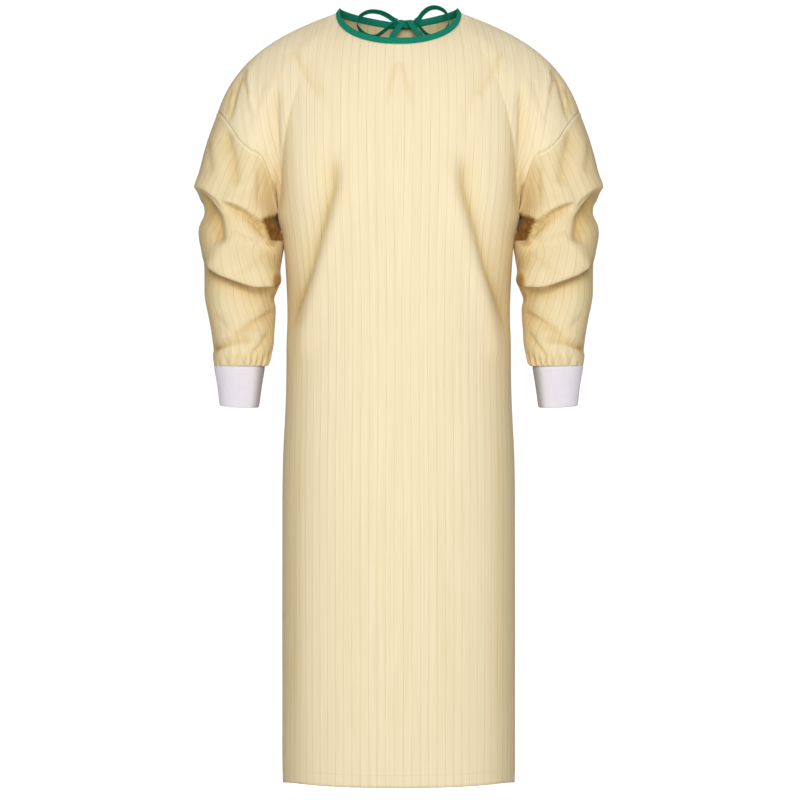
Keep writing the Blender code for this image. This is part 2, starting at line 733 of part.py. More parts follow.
def make_waist_ties(cloth, nets, directions, mat):
    """Waist tapes: each lies on its back panel along one column of the cloth, moved out from it."""
    points = np.array(cloth.points)
    for name, side in (("waist_tie_left", "left"), ("waist_tie_right", "right")):
        column = nets[side][YOKE_ROWS + WAIST_ROWS[0] : YOKE_ROWS + WAIST_ROWS[1], WAIST_COLUMN]
        out = directions[column]
        route = points[column] + out * (WAIST_TAPE_LIFT + TAPE / 2)
        tape(name, route, np.cross(np.gradient(route, axis=0), out), mat)


def main():
    """Builds the gown."""
    clear_scene()
    yellow = material("gown_cloth", CLOTH_YELLOW, 0.85)
    white = material("rib_knit", KNIT_WHITE, 0.9)
    green = material("green_tape", TAPE_GREEN, 0.75)
    cloth = Cloth()
    add_front(cloth)
    halves = add_backs(cloth)
    rings = add_sleeves(cloth)
    add_binding(cloth, halves)
    nets = {side: cloth.indices(half) for side, half in halves.items()}
    fold_and_gather(cloth, rings)
    directions = cloth.normals()
    shifts = seam_shifts(cloth)
    for name in ("front", "back_left", "back_right"):
        wall(cloth, name, yellow, directions["body"], shifts[name])
    for name in SLEEVE_PIECES:
        wall(cloth, name, yellow, directions["sleeve"], shifts[name])
    binding = shifts["neck_binding"]
    wall(cloth, "neck_binding", green, directions["body"], binding, out=BINDING_OUT, thickness=BINDING_IN)
    make_cuffs(white)
    make_bow(green)
    make_waist_ties(cloth, nets, directions["body"], green)


main()
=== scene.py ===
"""Isolation gown: the looks of the pale yellow pinstriped gown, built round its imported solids.

Tables are millimetres in the part's own frame: the origin midway between the two points where the neck
edge crosses the shoulders, +Z up, the front of the gown towards -Y and the wearer's left at +X.
"""

import math
from collections import namedtuple

import bpy
import numpy as np
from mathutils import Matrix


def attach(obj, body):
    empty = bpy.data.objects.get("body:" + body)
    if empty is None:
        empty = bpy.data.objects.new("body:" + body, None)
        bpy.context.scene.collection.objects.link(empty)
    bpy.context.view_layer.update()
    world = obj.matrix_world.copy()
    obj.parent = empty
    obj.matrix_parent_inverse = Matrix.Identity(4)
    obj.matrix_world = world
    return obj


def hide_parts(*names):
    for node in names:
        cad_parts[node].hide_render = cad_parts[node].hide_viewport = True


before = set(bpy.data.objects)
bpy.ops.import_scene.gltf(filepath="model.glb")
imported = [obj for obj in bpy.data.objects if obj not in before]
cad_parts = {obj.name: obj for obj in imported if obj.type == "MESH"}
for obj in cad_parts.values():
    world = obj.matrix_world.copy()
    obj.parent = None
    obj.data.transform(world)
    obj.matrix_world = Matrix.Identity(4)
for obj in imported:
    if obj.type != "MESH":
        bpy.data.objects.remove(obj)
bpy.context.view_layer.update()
MM = 0.001


# Camera, floor and light
# A studio cut-out: camera level with the middle of the gown, a white floor well below the hem, one wide
# soft light from the camera's side and an even white room round it.
CAMERA_AT = (0.0021, -3.6, -0.6)
CAMERA_LENS = 100.3
CAMERA_SHIFT = -0.0192
FLOOR_Z = -1.62
FLOOR_SIZE = 30.0
ROOM_LIGHT = 0.21
ROOM_WHITE = 1.05
FLOOR_GLOW = 0.9
FLOOR_GREY = 0.93

camera = bpy.data.objects.new("camera", bpy.data.cameras.new("camera"))
camera.location = CAMERA_AT
camera.rotation_euler = (math.pi / 2, 0, 0)
camera.data.lens = CAMERA_LENS
camera.data.sensor_width = 36.0
camera.data.shift_y = CAMERA_SHIFT
camera.data.clip_end = 100.0
bpy.context.scene.collection.objects.link(camera)
bpy.context.scene.camera = camera
bpy.context.scene.view_settings.view_transform = "Standard"


def node_shader(name, roughness):
    """A new material with its node tree and Principled shader."""
    mat = bpy.data.materials.new(name)
    mat.use_nodes = True
    shader = mat.node_tree.nodes["Principled BSDF"]
    shader.inputs["Roughness"].default_value = roughness
    return mat, mat.node_tree, shader


def mesh_object(name, points, faces, mat):
    """A mesh object from points in millimetres."""
    mesh = bpy.data.meshes.new(name)
    mesh.from_pydata((np.asarray(points, float) * MM).tolist(), [], faces)
    mesh.update()
    mesh.shade_smooth()
    mesh.materials.append(mat)
    obj = bpy.data.objects.new(name, mesh)
    bpy.context.scene.collection.objects.link(obj)
    return obj


floor_paint, floor_tree, floor_shader = node_shader("floor_paint", 0.9)
floor_shader.inputs["Base Color"].default_value = (FLOOR_GREY, FLOOR_GREY, FLOOR_GREY, 1)
floor_shader.inputs["Emission Color"].default_value = (1, 1, 1, 1)
look = floor_tree.nodes.new("ShaderNodeLightPath")
glow = floor_tree.nodes.new("ShaderNodeMath")
glow.operation = "MULTIPLY"
glow.inputs[1].default_value = FLOOR_GLOW
floor_tree.links.new(look.outputs["Is Camera Ray"], glow.inputs[0])
floor_tree.links.new(glow.outputs[0], floor_shader.inputs["Emission Strength"])
reach = FLOOR_SIZE / 2 / MM
corners = [(x * reach, y * reach, FLOOR_Z / MM) for x, y in ((-1, -1), (1, -1), (1, 1), (-1, 1))]
floor = mesh_object("floor", corners, [[0, 1, 2, 3]], floor_paint)

world = bpy.data.worlds.new("room")
world.use_nodes = True
bpy.context.scene.world = world
room = world.node_tree
seen = room.nodes.new("ShaderNodeLightPath")
pick = room.nodes.new("ShaderNodeMixShader")
room.links.new(seen.outputs["Is Camera Ray"], pick.inputs["Fac"])
for light_node, strength, way_in in (
    (room.nodes["Background"], ROOM_LIGHT, 1), (room.nodes.new("ShaderNodeBackground"), ROOM_WHITE, 2),
):
    light_node.inputs["Color"].default_value = (1.0, 1.0, 1.0, 1)
    light_node.inputs["Strength"].default_value = strength
    room.links.new(light_node.outputs["Background"], pick.inputs[way_in])
room.links.new(pick.outputs["Shader"], room.nodes["World Output"].inputs["Surface"])


def soft_light(name, at, look_at, size, power):
    """A square soft light turned towards a point."""
    light = bpy.data.lights.new(name, "AREA")
    light.shape = "RECTANGLE"
    light.size, light.size_y = size
    light.energy = power
    obj = bpy.data.objects.new(name, light)
    obj.location = at
    way = np.array(look_at, float) - np.array(at, float)
    level = math.hypot(way[0], way[1])
    obj.rotation_euler = (math.pi / 2 + math.atan2(way[2], level), 0, math.atan2(-way[0], way[1]))
    bpy.context.scene.collection.objects.link(obj)


soft_light("front_light", (0, -4.0, 0.75), (0, 0, -0.75), (2.6, 2.0), 129)
soft_light("top_light", (0, -0.4, 2.2), (0, 0, -0.5), (2.5, 2.0), 5)
soft_light("back_light", (0, 4.2, 0.6), (0, 0, -0.6), (2.4, 2.4), 70)


# Cut pieces
# The gown is cut from one woven cloth: a front, two backs that lap at the centre, and two sleeves. Each is
# laid out here as it hangs before any fold forms, and pieces share their points along their seams.
ARMPIT_Z = -330.0
HEM_Z = -1228.0
HEM_SIDE_DROP = 12.0
HEM_DROP_WIDTH = 60.0
HEM_DROP_FROM = 0.85
NECK_HALF_WIDTH = 101.0
NECK_FRONT_DEPTH = 70.0
NECK_FRONT_DROP = 60.0
NECK_BACK_DEPTH = 60.0
NECK_BACK_DROP = 16.5
NECK_BACK_FALL = 1.2
NECK_POWER = 2.15
NECK_SHARE_AT_ARMPIT = 0.68
OVERLAP = 55.0
NECK_EDGE_SHORT = 0.02
OVERLAP_STARTS = 60.0
OVERLAP_FULL = 230.0
KEYHOLE_HALF_WIDTH = 19.0
KEYHOLE_DROP = 94.0
KEYHOLE_HALF_HEIGHT = 29.0
LAP_LIFT_FULL = 60.0
LAP_LIFT = 2.9
LAP_FLAT = 64.0
LAP_ENDS = 115.0

# Points of a dense curve that others are spaced along
CURVE_POINTS = 400
SEAM_POINTS = 800
BACK_CURVE_POINTS = 261
BACK_CURVE_FROM = -0.3
# Spacing of the cloth's points, in steps along each stretch
SIDE_COLUMNS = 48
BACK_COLUMNS = 52
ARMHOLE_COLUMNS = 64
YOKE_ROWS = 64
BODY_ROWS = 150

Section = namedtuple("Section", "z half_width front back")
BODY_POWER = 2.45
BODY = [
    Section(-330, 194, 122, 112),
    Section(-365, 186, 122, 112),
    Section(-400, 183, 122, 112),
    Section(-450, 181, 122, 112),
    Section(-590, 181, 124, 113),
    Section(-650, 183, 126, 116),
    Section(-700, 186, 128, 120),
    Section(-760, 187.5, 129, 122),
    Section(-1200, 188, 132, 125),
    Section(-1228, 187, 132, 125),
]
BODY_EASE = 22.0
EASE_STEPS = np.linspace(-2, 2, 9)

# place 0 is centre front or back, 1 the armpit, 2 the top of the shoulder; near and far are handles
Column = namedtuple("Column", "place near far")
COLUMNS_BEFORE = [
    Column(0.0, (0, -102, -118), (0, -122, -225)),
    Column(0.5, (74, -96, -100), (124, -120, -215)),
    Column(1.0, (163, -74, -64), (192, -116, -230)),
    Column(1.5, (166, -56, -48), (224, -72, -138)),
    Column(2.0, (172, 0, -27), (260, 0, -60)),
]
COLUMNS_BEHIND = [
    Column(0.0, (0, 86, -70), (0, 110, -190)),
    Column(0.5, (82, 84, -62), (124, 110, -195)),
    Column(1.0, (163, 68, -48), (192, 104, -226)),
    Column(1.5, (166, 52, -40), (226, 66, -135)),
    Column(2.0, (172, 0, -27), (260, 0, -60)),
]

SeamPoint = namedtuple("SeamPoint", "x y z")
ARMHOLE_FRONT = [
    SeamPoint(292, 0, -160),
    SeamPoint(283, -24, -169),
    SeamPoint(269, -43, -187),
    SeamPoint(256, -55, -208),
    SeamPoint(237, -61, -225),
    SeamPoint(219, -58, -234),
    SeamPoint(208, -46, -254),
    SeamPoint(198, -22, -292),
    SeamPoint(194, 0, -330),
]
ARMHOLE_BACK = [
    SeamPoint(292, 0, -160),
    SeamPoint(284, 24, -170),
    SeamPoint(272, 42, -188),
    SeamPoint(257, 54, -208),
    SeamPoint(238, 58, -224),
    SeamPoint(220, 55, -236),
    SeamPoint(208, 43, -258),
    SeamPoint(198, 21, -294),
    SeamPoint(194, 0, -330),
]

Ring = namedtuple("Ring", "outer inner middle front back")
SLEEVE = [
    Ring((292, -160), (194, -330), 0, 66, 64),
    Ring((309, -206), (201, -350), 0, 70, 68),
    Ring((321, -250), (198, -370), 0, 72, 70),
    Ring((327, -283), (194.5, -386), -2, 70, 71),
    Ring((318, -318), (192, -400), -4, 66, 72),
    Ring((323, -355), (191.5, -412), -8, 70, 72),
    Ring((316, -395), (192.5, -430), -12, 71, 68),
    Ring((313, -430), (195, -452), -16, 62, 62),
    Ring((311, -462), (197, -478), -20, 58, 57),
    Ring((303, -500), (198, -502), -25, 54, 53),
    Ring((297, -536), (202, -534), -30, 49, 48),
    Ring((296.5, -554), (209, -554), -33, 44, 43),
    Ring((294, -570), (214, -571), -36, 37, 37),
]
# Rings lie closer by the armhole's seam and by the cuff
RING_STEPS = np.concatenate([
    np.linspace(0, 0.3, 9)[:-1], np.linspace(0.3, 11, 110)[:-1], np.linspace(11, 12, 17),
])
ARMHOLE_FADE = 3.2
RING_POWER = 2.15


def smooth_step(value, start, end):
    """0 before start, 1 after end, eased between."""
    t = np.clip((np.asarray(value, float) - start) / (end - start), 0, 1)
    return t * t * (3 - 2 * t)


def through(points, at):
    """Points at the given places on a smooth curve through evenly numbered points."""
    p = np.asarray(points, float)
    p = np.vstack([2 * p[0] - p[1], p, 2 * p[-1] - p[-2]])
    at = np.clip(np.asarray(at, float), 0, len(p) - 3)
    i = np.minimum(at.astype(int), len(p) - 4)
    t = (at - i)[:, None]
    a, b, c, d = p[i], p[i + 1], p[i + 2], p[i + 3]
    return 0.5 * (2 * b + (c - a) * t + (2 * a - 5 * b + 4 * c - d) * t**2 + (3 * b - a - 3 * c + d) * t**3)


def run_of(points):
    """Length along a line of points, from its start to each point."""
    steps = np.linalg.norm(np.diff(points, axis=0), axis=1)
    return np.concatenate([[0], np.cumsum(steps)])


def by_length(points, shares):
    """Points at the given shares of a dense curve's length."""
    p = np.asarray(points, float)
    run = run_of(p)
    want = np.asarray(shares, float) * run[-1]
    return np.stack([np.interp(want, run, p[:, k]) for k in range(p.shape[1])], axis=1)


def quarter(width, depth, drop, power):
    """Dense quarter curve from the centre (0, depth, drop) to the side (width, 0, 0)."""
    angle = np.linspace(0, math.pi / 2, CURVE_POINTS)
    side = np.sin(angle) ** (2 / power)
    middle = np.cos(angle) ** (2 / power)
    return np.stack([width * side, depth * middle, drop * middle], axis=1)


def neck_edge(place, face):
    """Neck edge at each place, where the cloth meets the binding. Behind, it falls evenly to the knot."""
    depth = -NECK_FRONT_DEPTH if face == "front" else NECK_BACK_DEPTH
    drop = -NECK_FRONT_DROP if face == "front" else -NECK_BACK_DROP
    share = np.interp(place, [0, 1, 2], [0, NECK_SHARE_AT_ARMPIT, 1])
    edge = quarter(NECK_HALF_WIDTH, depth, drop, NECK_POWER)
    if face == "back":
        edge[:, 2] = drop * (1 - (edge[:, 0] / NECK_HALF_WIDTH) ** NECK_BACK_FALL)
    return by_length(edge, share)


def body_size(z, field):
    """One size of the body at a height, eased between the table's rows."""
    rows = sorted(BODY)
    near = z + EASE_STEPS * BODY_EASE
    weights = np.exp(-EASE_STEPS**2)
    sizes = np.interp(near, [r.z for r in rows], [getattr(r, field) for r in rows])
    fade = min(1.0, (ARMPIT_Z - z) / BODY_EASE) if z < ARMPIT_Z else 0.0
    eased = (sizes * weights).sum() / weights.sum()
    return eased * fade + sizes[4] * (1 - fade)


def body_ring(place, z, face):
    """Points of the body at one height, at each place from the centre (0) to the side (1)."""
    depth = -body_size(z, "front") if face == "front" else body_size(z, "back")
    ring = by_length(quarter(body_size(z, "half_width"), depth, 0, BODY_POWER), place)
    ring[:, 2] = z
    return ring


def armhole(face):
    """Dense armhole seam from the armpit up to the top of the shoulder."""
    table = ARMHOLE_FRONT if face == "front" else ARMHOLE_BACK
    return through(table[::-1], np.linspace(0, len(table) - 1, SEAM_POINTS))


def yoke_end(place, face):
    """Where each yoke column ends: the armpit level, then the armhole."""
    low = body_ring(np.clip(place, 0, 1), ARMPIT_Z, face)
    high = by_length(armhole(face), np.clip(place - 1, 0, 1))
    return np.where((place <= 1)[:, None], low, high)


def handles(place, face, which):
    """Near or far handle of each yoke column, smooth across the shoulder and mirrored at the centre."""
    here = COLUMNS_BEFORE if face == "front" else COLUMNS_BEHIND
    there = COLUMNS_BEHIND if face == "front" else COLUMNS_BEFORE
    own = [getattr(c, which) for c in here]
    other_half = (-own[1][0], own[1][1], own[1][2])
    return through([other_half, *own, getattr(there[-2], which)], 1 + place * 2)


def half_rows(place, face):
    """Rows of points of one half of the front or back, from the neck down, at the given places."""
    side = np.where(place < 0, -1.0, 1.0)
    place = np.abs(place)
    neck, low = neck_edge(place, face), yoke_end(place, face)
    near, far = handles(place, face, "near"), handles(place, face, "far")
    rows = []
    for t in np.linspace(0, 1, YOKE_ROWS + 1):
        before = neck * (1 - t) ** 3 + near * 3 * t * (1 - t) ** 2
        rows.append(before + far * 3 * t * t * (1 - t) + low * t**3)
    for t in np.linspace(0, 1, BODY_ROWS + 1)[1:]:
        ring = body_ring(np.clip(place, 0, 1), ARMPIT_Z + (HEM_Z - ARMPIT_Z) * t, face)
        near_side = np.exp(-((ring[:, 1] / HEM_DROP_WIDTH) ** 2))
        ring[:, 2] -= HEM_SIDE_DROP * near_side * smooth_step(t, HEM_DROP_FROM, 1)
        rows.append(ring)
    sheet = np.array(rows)
    sheet[:, :, 0] *= side
    return sheet


def front_rows():
    """Rows of a front half, from the centre to the top of the shoulder."""
    low = np.linspace(0, 1, SIDE_COLUMNS + 1)
    return half_rows(np.concatenate([low, 1 + np.linspace(0, 1, ARMHOLE_COLUMNS + 1)[1:]]), "front")


def back_rows(laps_over):
    """Rows of a back half, from its free edge past the centre to the top of the shoulder."""
    whole = half_rows(np.linspace(0, 1, 60), "back")
    fall = -NECK_BACK_DROP - whole[:, 0, 2]
    lapped = smooth_step(fall, OVERLAP_STARTS, OVERLAP_FULL)
    reach = (OVERLAP + NECK_EDGE_SHORT) * lapped - NECK_EDGE_SHORT
    reach -= KEYHOLE_HALF_WIDTH * np.exp(-(((fall - KEYHOLE_DROP) / KEYHOLE_HALF_HEIGHT) ** 2))
    width = np.linalg.norm(np.diff(whole, axis=1), axis=2).sum(axis=1)
    places = np.linspace(BACK_CURVE_FROM, 1, BACK_CURVE_POINTS)
    dense = half_rows(places, "back")
    high = half_rows(1 + np.linspace(0, 1, ARMHOLE_COLUMNS + 1)[1:], "back")
    rows = []
    for row, edge in enumerate(-reach / width):
        want = edge + (1 - edge) * np.linspace(0, 1, BACK_COLUMNS + 1)
        low = np.stack([np.interp(want, places, dense[row, :, k]) for k in range(3)], axis=1)
        rows.append(np.vstack([low, high[row]]))
    sheet = np.array(rows)
    if laps_over:
        raised = LAP_LIFT * smooth_step(fall, 0, LAP_LIFT_FULL)
        sheet[:, :, 1] += raised[:, None] * (1 - smooth_step(sheet[:, :, 0], LAP_FLAT, LAP_ENDS))
    return sheet


def ring_points(ring, angle):
    """Points of one sleeve or cuff ring: angle 0 is its outer edge, pi its inner edge, by the front."""
    outer = np.array([ring[0], 0, ring[1]])
    inner = np.array([ring[2], 0, ring[3]])
    middle, half_way = (outer + inner) / 2, (outer - inner) / 2
    across, deep = np.cos(angle), np.sin(angle)
    shape = np.sign(across) * np.abs(across) ** (2 / RING_POWER)
    bulge = np.abs(deep) ** (2 / RING_POWER)
    points = middle + half_way * shape[:, None]
    points[:, 1] = ring[4] + np.where(deep >= 0, -ring[5] * bulge, ring[6] * bulge)
    return points


def ring_rows(table, at):
    """Ring sizes at the given places between the table's rows."""
    return through([(*r.outer, *r.inner, r.middle, r.front, r.back) for r in table], at)


def sleeve_rows():
    """Rings of the wearer's left sleeve, from the armhole down, round from the top by the front."""
    angle = np.linspace(0, 2 * math.pi, 2 * ARMHOLE_COLUMNS + 1)[:-1]
    shares = np.linspace(0, 1, ARMHOLE_COLUMNS + 1)
    before, behind = (by_length(armhole(face), shares) for face in ("front", "back"))
    seam = np.vstack([before[::-1][:-1], behind[:-1]])
    rings = ring_rows(SLEEVE, RING_STEPS)
    shift = seam - ring_points(rings[0], angle)
    return np.array([
        ring_points(ring, angle) + shift * (1 - smooth_step(step, 0, ARMHOLE_FADE))
        for step, ring in zip(RING_STEPS, rings)
    ])


def unit(vectors):
    """Vectors of length 1, or zero where they were zero."""
    length = np.linalg.norm(vectors, axis=-1, keepdims=True)
    return vectors / np.maximum(length, 1e-9)


def grid_faces(rows, columns, closed=False, skip=None):
    """Corner numbers of a grid's faces, row by row; skip(row, column) leaves a face out."""
    faces = []
    for r in range(rows - 1):
        for c in range(columns if closed else columns - 1):
            if skip is None or not skip(r, c):
                d = (c + 1) % columns
                top, low = r * columns, (r + 1) * columns
                faces.append((top + c, low + c, low + d, top + d))
    return np.array(faces)


class Piece:
    """One cut piece as a grid of points with its faces, numbered in the gown's shared list of points."""

    def __init__(self, name, grid, faces, group):
        self.name, self.grid, self.faces, self.group = name, grid, faces, group
        self.index = None


def mirrored(grid):
    """The same grid on the wearer's other side."""
    return grid * np.array([-1, 1, 1])


half_front = front_rows()
whole_front = np.concatenate([mirrored(half_front)[:, :0:-1], half_front], axis=1)
middle_column = half_front.shape[1] - 1


def below_armpit_front(r, c):
    """Faces past the side seams, which the front doesn't have."""
    return r >= YOKE_ROWS and not middle_column - SIDE_COLUMNS <= c < middle_column + SIDE_COLUMNS


def below_armpit_back(r, c):
    """Faces past the side seam, which a back doesn't have."""
    return r >= YOKE_ROWS and c >= BACK_COLUMNS


back_right, sleeve_left = mirrored(back_rows(True)), sleeve_rows()
pieces = {
    name: Piece(name, grid, grid_faces(*grid.shape[:2], **more), group) for name, grid, group, more in (
        ("front", whole_front, "body", {"skip": below_armpit_front}),
        ("back_left", back_rows(False), "body", {"skip": below_armpit_back}),
        ("back_right", back_right, "body", {"skip": below_armpit_back}),
        ("sleeve_left", sleeve_left, "sleeve", {"closed": True}),
        ("sleeve_right", mirrored(sleeve_left), "sleeve", {"closed": True}),
    )
}
for name in ("back_left", "sleeve_left"):
    pieces[name].faces = pieces[name].faces[:, ::-1]

stacked = np.vstack([p.grid.reshape(-1, 3) for p in pieces.values()])
_, first, numbers = np.unique(np.round(stacked, 2) + 0.0, axis=0, return_index=True, return_inverse=True)
cloth_points = stacked[first]
start = 0
for piece in pieces.values():
    count = piece.grid.shape[0] * piece.grid.shape[1]
    piece.index = numbers.reshape(-1)[start : start + count]
    start += count


def facing(points, group):
    """Mean outward direction at every point of the pieces in a group, zero where they have none."""
    total = np.zeros_like(points)
    for piece in pieces.values():
        if piece.group == group:
            corners = points[piece.index[piece.faces]]
            across = np.cross(corners[:, 2] - corners[:, 0], corners[:, 3] - corners[:, 1])
            for k in range(4):
                np.add.at(total, piece.index[piece.faces[:, k]], across)
    return unit(total)


FLAT_SEAM = (0.2, 0.7)


def directions(points):
    """Outward direction for the body, the sleeves and the two together.

    Along a flat seam both share one direction. Under the arm the cloth turns back and each keeps its own.
    """
    body, sleeves = facing(points, "body"), facing(points, "sleeve")
    shared = unit(body + sleeves)
    flat = smooth_step(np.sum(body * sleeves, axis=1), *FLAT_SEAM)[:, None]
    seam = (np.any(body, axis=1) & np.any(sleeves, axis=1))[:, None]
    own = [np.where(seam, unit(shared * flat + one * (1 - flat)), one) for one in (body, sleeves)]
    return {"body": own[0], "sleeve": own[1], "all": shared}


# Folds and gathers
# The wearer's arms bend a little at the elbow, so the sleeves buckle there. The body hangs from the chest in
# two soft troughs, and fine creases fan out from the shoulders. All are drawn on one half and mirrored.
# Each fold's shade is painted shade: it browns and darkens the colour along the fold's valley
Fold = namedtuple("Fold", "face depth shade above below path")
FOLDS_BEFORE = [
    # Drape of the body
    (-7.5, 0.04, 22, 17, ((101, -215), (107, -290), (128, -353), (148, -420), (167, -470), (188, -540))),
    (-2.5, 0.17, 7, 6, ((98, -227), (101, -290), (120, -350), (139, -418), (158, -462), (176, -515))),
    (4, 0, 12, 14, ((84, -240), (90, -310), (110, -372), (132, -450), (150, -520), (160, -600))),
    (-6, 0.05, 8, 14, ((196, -120), (193, -210), (190, -330))),
    (-3.5, 0.06, 6, 6, ((174, -58), (157, -92), (138, -126), (122, -150))),
    (-1.2, 0.02, 6, 5, ((150, -70), (132, -106), (110, -170), (104, -230))),
    (1.2, 0, 10, 8, ((118, -80), (96, -150), (84, -240))),
    (-1.2, 0.02, 9, 9, ((60, -760), (66, -940), (70, -1180))),
    (1.1, 0, 12, 12, ((112, -720), (118, -950), (120, -1200))),
    (-1.4, 0.03, 7, 7, ((158, -640), (164, -900), (166, -1190))),
    # Drop shoulder
    (-4, 0.05, 6, 6, ((248, -86), (262, -122), (272, -168))),
    (-2.8, 0.16, 3, 3, ((254, -98), (259, -127), (265, -150), (271, -184))),
    (-2.4, 0.14, 3, 2.6, ((246, -90), (249, -108), (245, -124), (240, -142))),
    (-2.2, 0.14, 2.8, 2.8, ((266, -118), (275, -143), (278, -170))),
    (2.6, 0, 4, 4, ((236, -82), (240, -112), (236, -144), (227, -178))),
    (-1.8, 0.03, 3.2, 3.2, ((195, -94), (194, -150), (195, -235))),
    (1.2, 0, 6, 5, ((203, -110), (202, -160), (203, -225))),
    (-1.3, 0.02, 5, 5, ((214, -110), (222, -150), (240, -190))),
    # Upper sleeve
    (-8, 0.11, 10, 11, ((280, -190), (265, -235), (256, -290))),
    (2.4, 0, 7, 7, ((296, -200), (294, -230), (284, -262))),
    (-2.0, 0.03, 5, 5, ((306, -206), (304, -240), (299, -268))),
    (3.5, 0, 11, 11, ((240, -232), (232, -262), (236, -292))),
    (-2.2, 0.03, 5, 5, ((226, -250), (221, -285), (226, -312))),
    # Elbow
    (-14, 0.2, 9, 22, ((340, -290), (314, -307), (293, -336), (274, -380))),
    (-4.5, 0.06, 3, 7, ((338, -291), (316, -299), (296, -318), (284, -336), (276, -366))),
    (6, 0, 14, 4, ((342, -279), (310, -286), (288, -302), (274, -322))),
    (10, 0, 20, 5, ((284, -300), (255, -314), (234, -328), (212, -344), (202, -366))),
    (-8, 0.11, 5, 14, ((278, -310), (250, -323), (230, -337), (211, -354), (203, -374))),
    (-4.5, 0.06, 3, 6, ((262, -316), (246, -324), (229, -338), (216, -354), (209, -369))),
    (3.5, 0, 5, 7, ((222, -374), (244, -370), (264, -358))),
    (-3.2, 0.04, 4, 5, ((203, -386), (226, -404), (242, -416), (258, -420))),
    (14, 0, 36, 6, ((312, -396), (282, -418), (232, -437), (186, -434))),
    (-10, 0.14, 6, 18, ((326, -396), (280, -430), (228, -452), (188, -450))),
    (-5, 0.07, 3, 6, ((330, -392), (282, -425), (252, -440), (226, -446), (190, -444))),
    # Forearm
    (-6, 0.08, 8, 12, ((184, -478), (228, -504), (266, -526))),
    (-2.2, 0.03, 4, 4, ((196, -482), (226, -500), (266, -528))),
    (2.2, 0, 6, 6, ((206, -466), (240, -484), (282, -500))),
    (-1.8, 0.03, 4, 5, ((296, -484), (280, -502), (260, -520))),
    (-6.5, 0.1, 8, 3, ((304, -552), (285, -541), (265, -534), (249, -531), (225, -531))),
    (-4.0, 0.08, 4, 5, ((203, -514), (219, -537), (228, -547), (237, -562))),
    (2.6, 0, 6, 6, ((296, -528), (268, -520), (236, -516), (212, -520))),
]
FOLDS_BEHIND = [
    (-5, 0.03, 16, 12, ((104, -250), (118, -320), (134, -410), (158, -520))),
    (4, 0, 15, 15, ((84, -320), (98, -430), (118, -560), (130, -680))),
    (-4, 0.08, 10, 10, ((194, -100), (194, -200), (195, -300))),
    (-2.0, 0.04, 6, 6, ((150, -66), (134, -110), (112, -176), (104, -236))),
    (-1.6, 0.03, 9, 9, ((74, -700), (84, -900), (88, -1180))),
    (1.4, 0, 12, 12, ((126, -700), (134, -920), (136, -1190))),
    (-2.0, 0.04, 3, 3, ((256, -104), (262, -134), (268, -172))),
    (-1.7, 0.03, 3, 3, ((246, -98), (249, -128), (254, -160))),
    (1.7, 0, 5, 5, ((232, -90), (232, -130), (226, -178))),
    (-2.2, 0.04, 6, 6, ((284, -200), (272, -240), (266, -276))),
    (-8, 0.05, 12, 24, ((320, -300), (296, -330), (262, -352))),
    (-3, 0.06, 4, 8, ((322, -300), (300, -326), (272, -344), (236, -352))),
    (7, 0, 20, 8, ((312, -380), (276, -398), (226, -408), (200, -400))),
    (-6, 0.12, 10, 18, ((306, -410), (270, -428), (224, -432), (198, -426))),
    (-2.6, 0.05, 4, 6, ((300, -414), (268, -430), (232, -434), (204, -430))),
    (-4, 0.08, 10, 12, ((300, -500), (262, -516), (214, -512))),
    (2.4, 0, 7, 7, ((296, -470), (258, -482), (214, -476))),
    (-2.4, 0.05, 6, 6, ((292, -540), (262, -534), (226, -536))),
]
FOLDS = [Fold("front", *fold) for fold in FOLDS_BEFORE] + [Fold("back", *fold) for fold in FOLDS_BEHIND]
# Where a sleeve swells or draws in
Puff = namedtuple("Puff", "x z wide high push")
PUFFS = [
    Puff(192, -362, 22, 32, 10), Puff(190, -370, 16, 24, 5), Puff(188, -432, 12, 10, 4),
    Puff(196, -462, 16, 10, -4), Puff(328, -326, 12, 10, -4),
]
# The pocket that the buckled sleeve leaves beside the body, pressed straight back and filled with dark brown
# painted shade
POCKET = [(193, -326), (216, -337), (204, -369), (180, -369), (180, -326)]
POCKET_DEEP = 22.0
POCKET_EDGE = 4.0
# Painted shade, which browns and darkens the cloth's colour: spots in the depth of the folds, the whole
# sleeves, the flanks turned away from the light, the valleys of the gathers and the inside of the cloth
Shade = namedtuple("Shade", "x z wide high share")
SHADES = [
    Shade(193, -436, 6, 13, 0.55), Shade(200, -461, 4, 8, 0.35), Shade(203, -374, 8, 6, 0.25),
    Shade(199, -405, 11, 17, 0.10), Shade(293, -541, 9, 6, 0.16),
]
SHADE_SLEEVE = 0.055
SHADE_FLANK = 0.085
SHADE_GATHER = 0.26
SHADE_INSIDE = 0.10
# Painted shade: the tear-shaped gap of the back, shown through the chest as a faint darker outline
TEAR_TOP_Z = -86.0
TEAR_HEIGHT = 92.0
TEAR_HALF_WIDTH = 24.0
TEAR_EDGE = 5.0
TEAR_FLARE = 0.8
TEAR_SHADE = 0.06
FOLD_END = 0.18
FOLD_FACING = 1.8
FOLD_WRAP = 0.2
CREASE_ROUND = 0.3
CREASE_SHARP = 1.5
SOFT_WIDTH = 11
SAG = 0.45
SLEEVE_END_Z = -570.0
FOLDS_END_ABOVE_CUFF = 24.0
# Gathers: 21 round each end, unevenly spaced and deep, most of them on the inner side towards the body
GATHERS = 21
GATHER_SPREAD = 0.35
GATHER_DEPTH = 3.6
GATHER_PUFF = 4.0
GATHER_HEIGHT = 30.0
GATHER_ROUND = 17.0
GATHER_DROP = 1.5
GATHER_PINCH = 0.6
SEAM_RIDGE = 0.9
SEAM_RIDGE_AT = 4.0
SEAM_RIDGE_WIDTH = 2.6
SEAM_GROOVE = 0.15
SEAM_GROOVE_WIDTH = 1.2


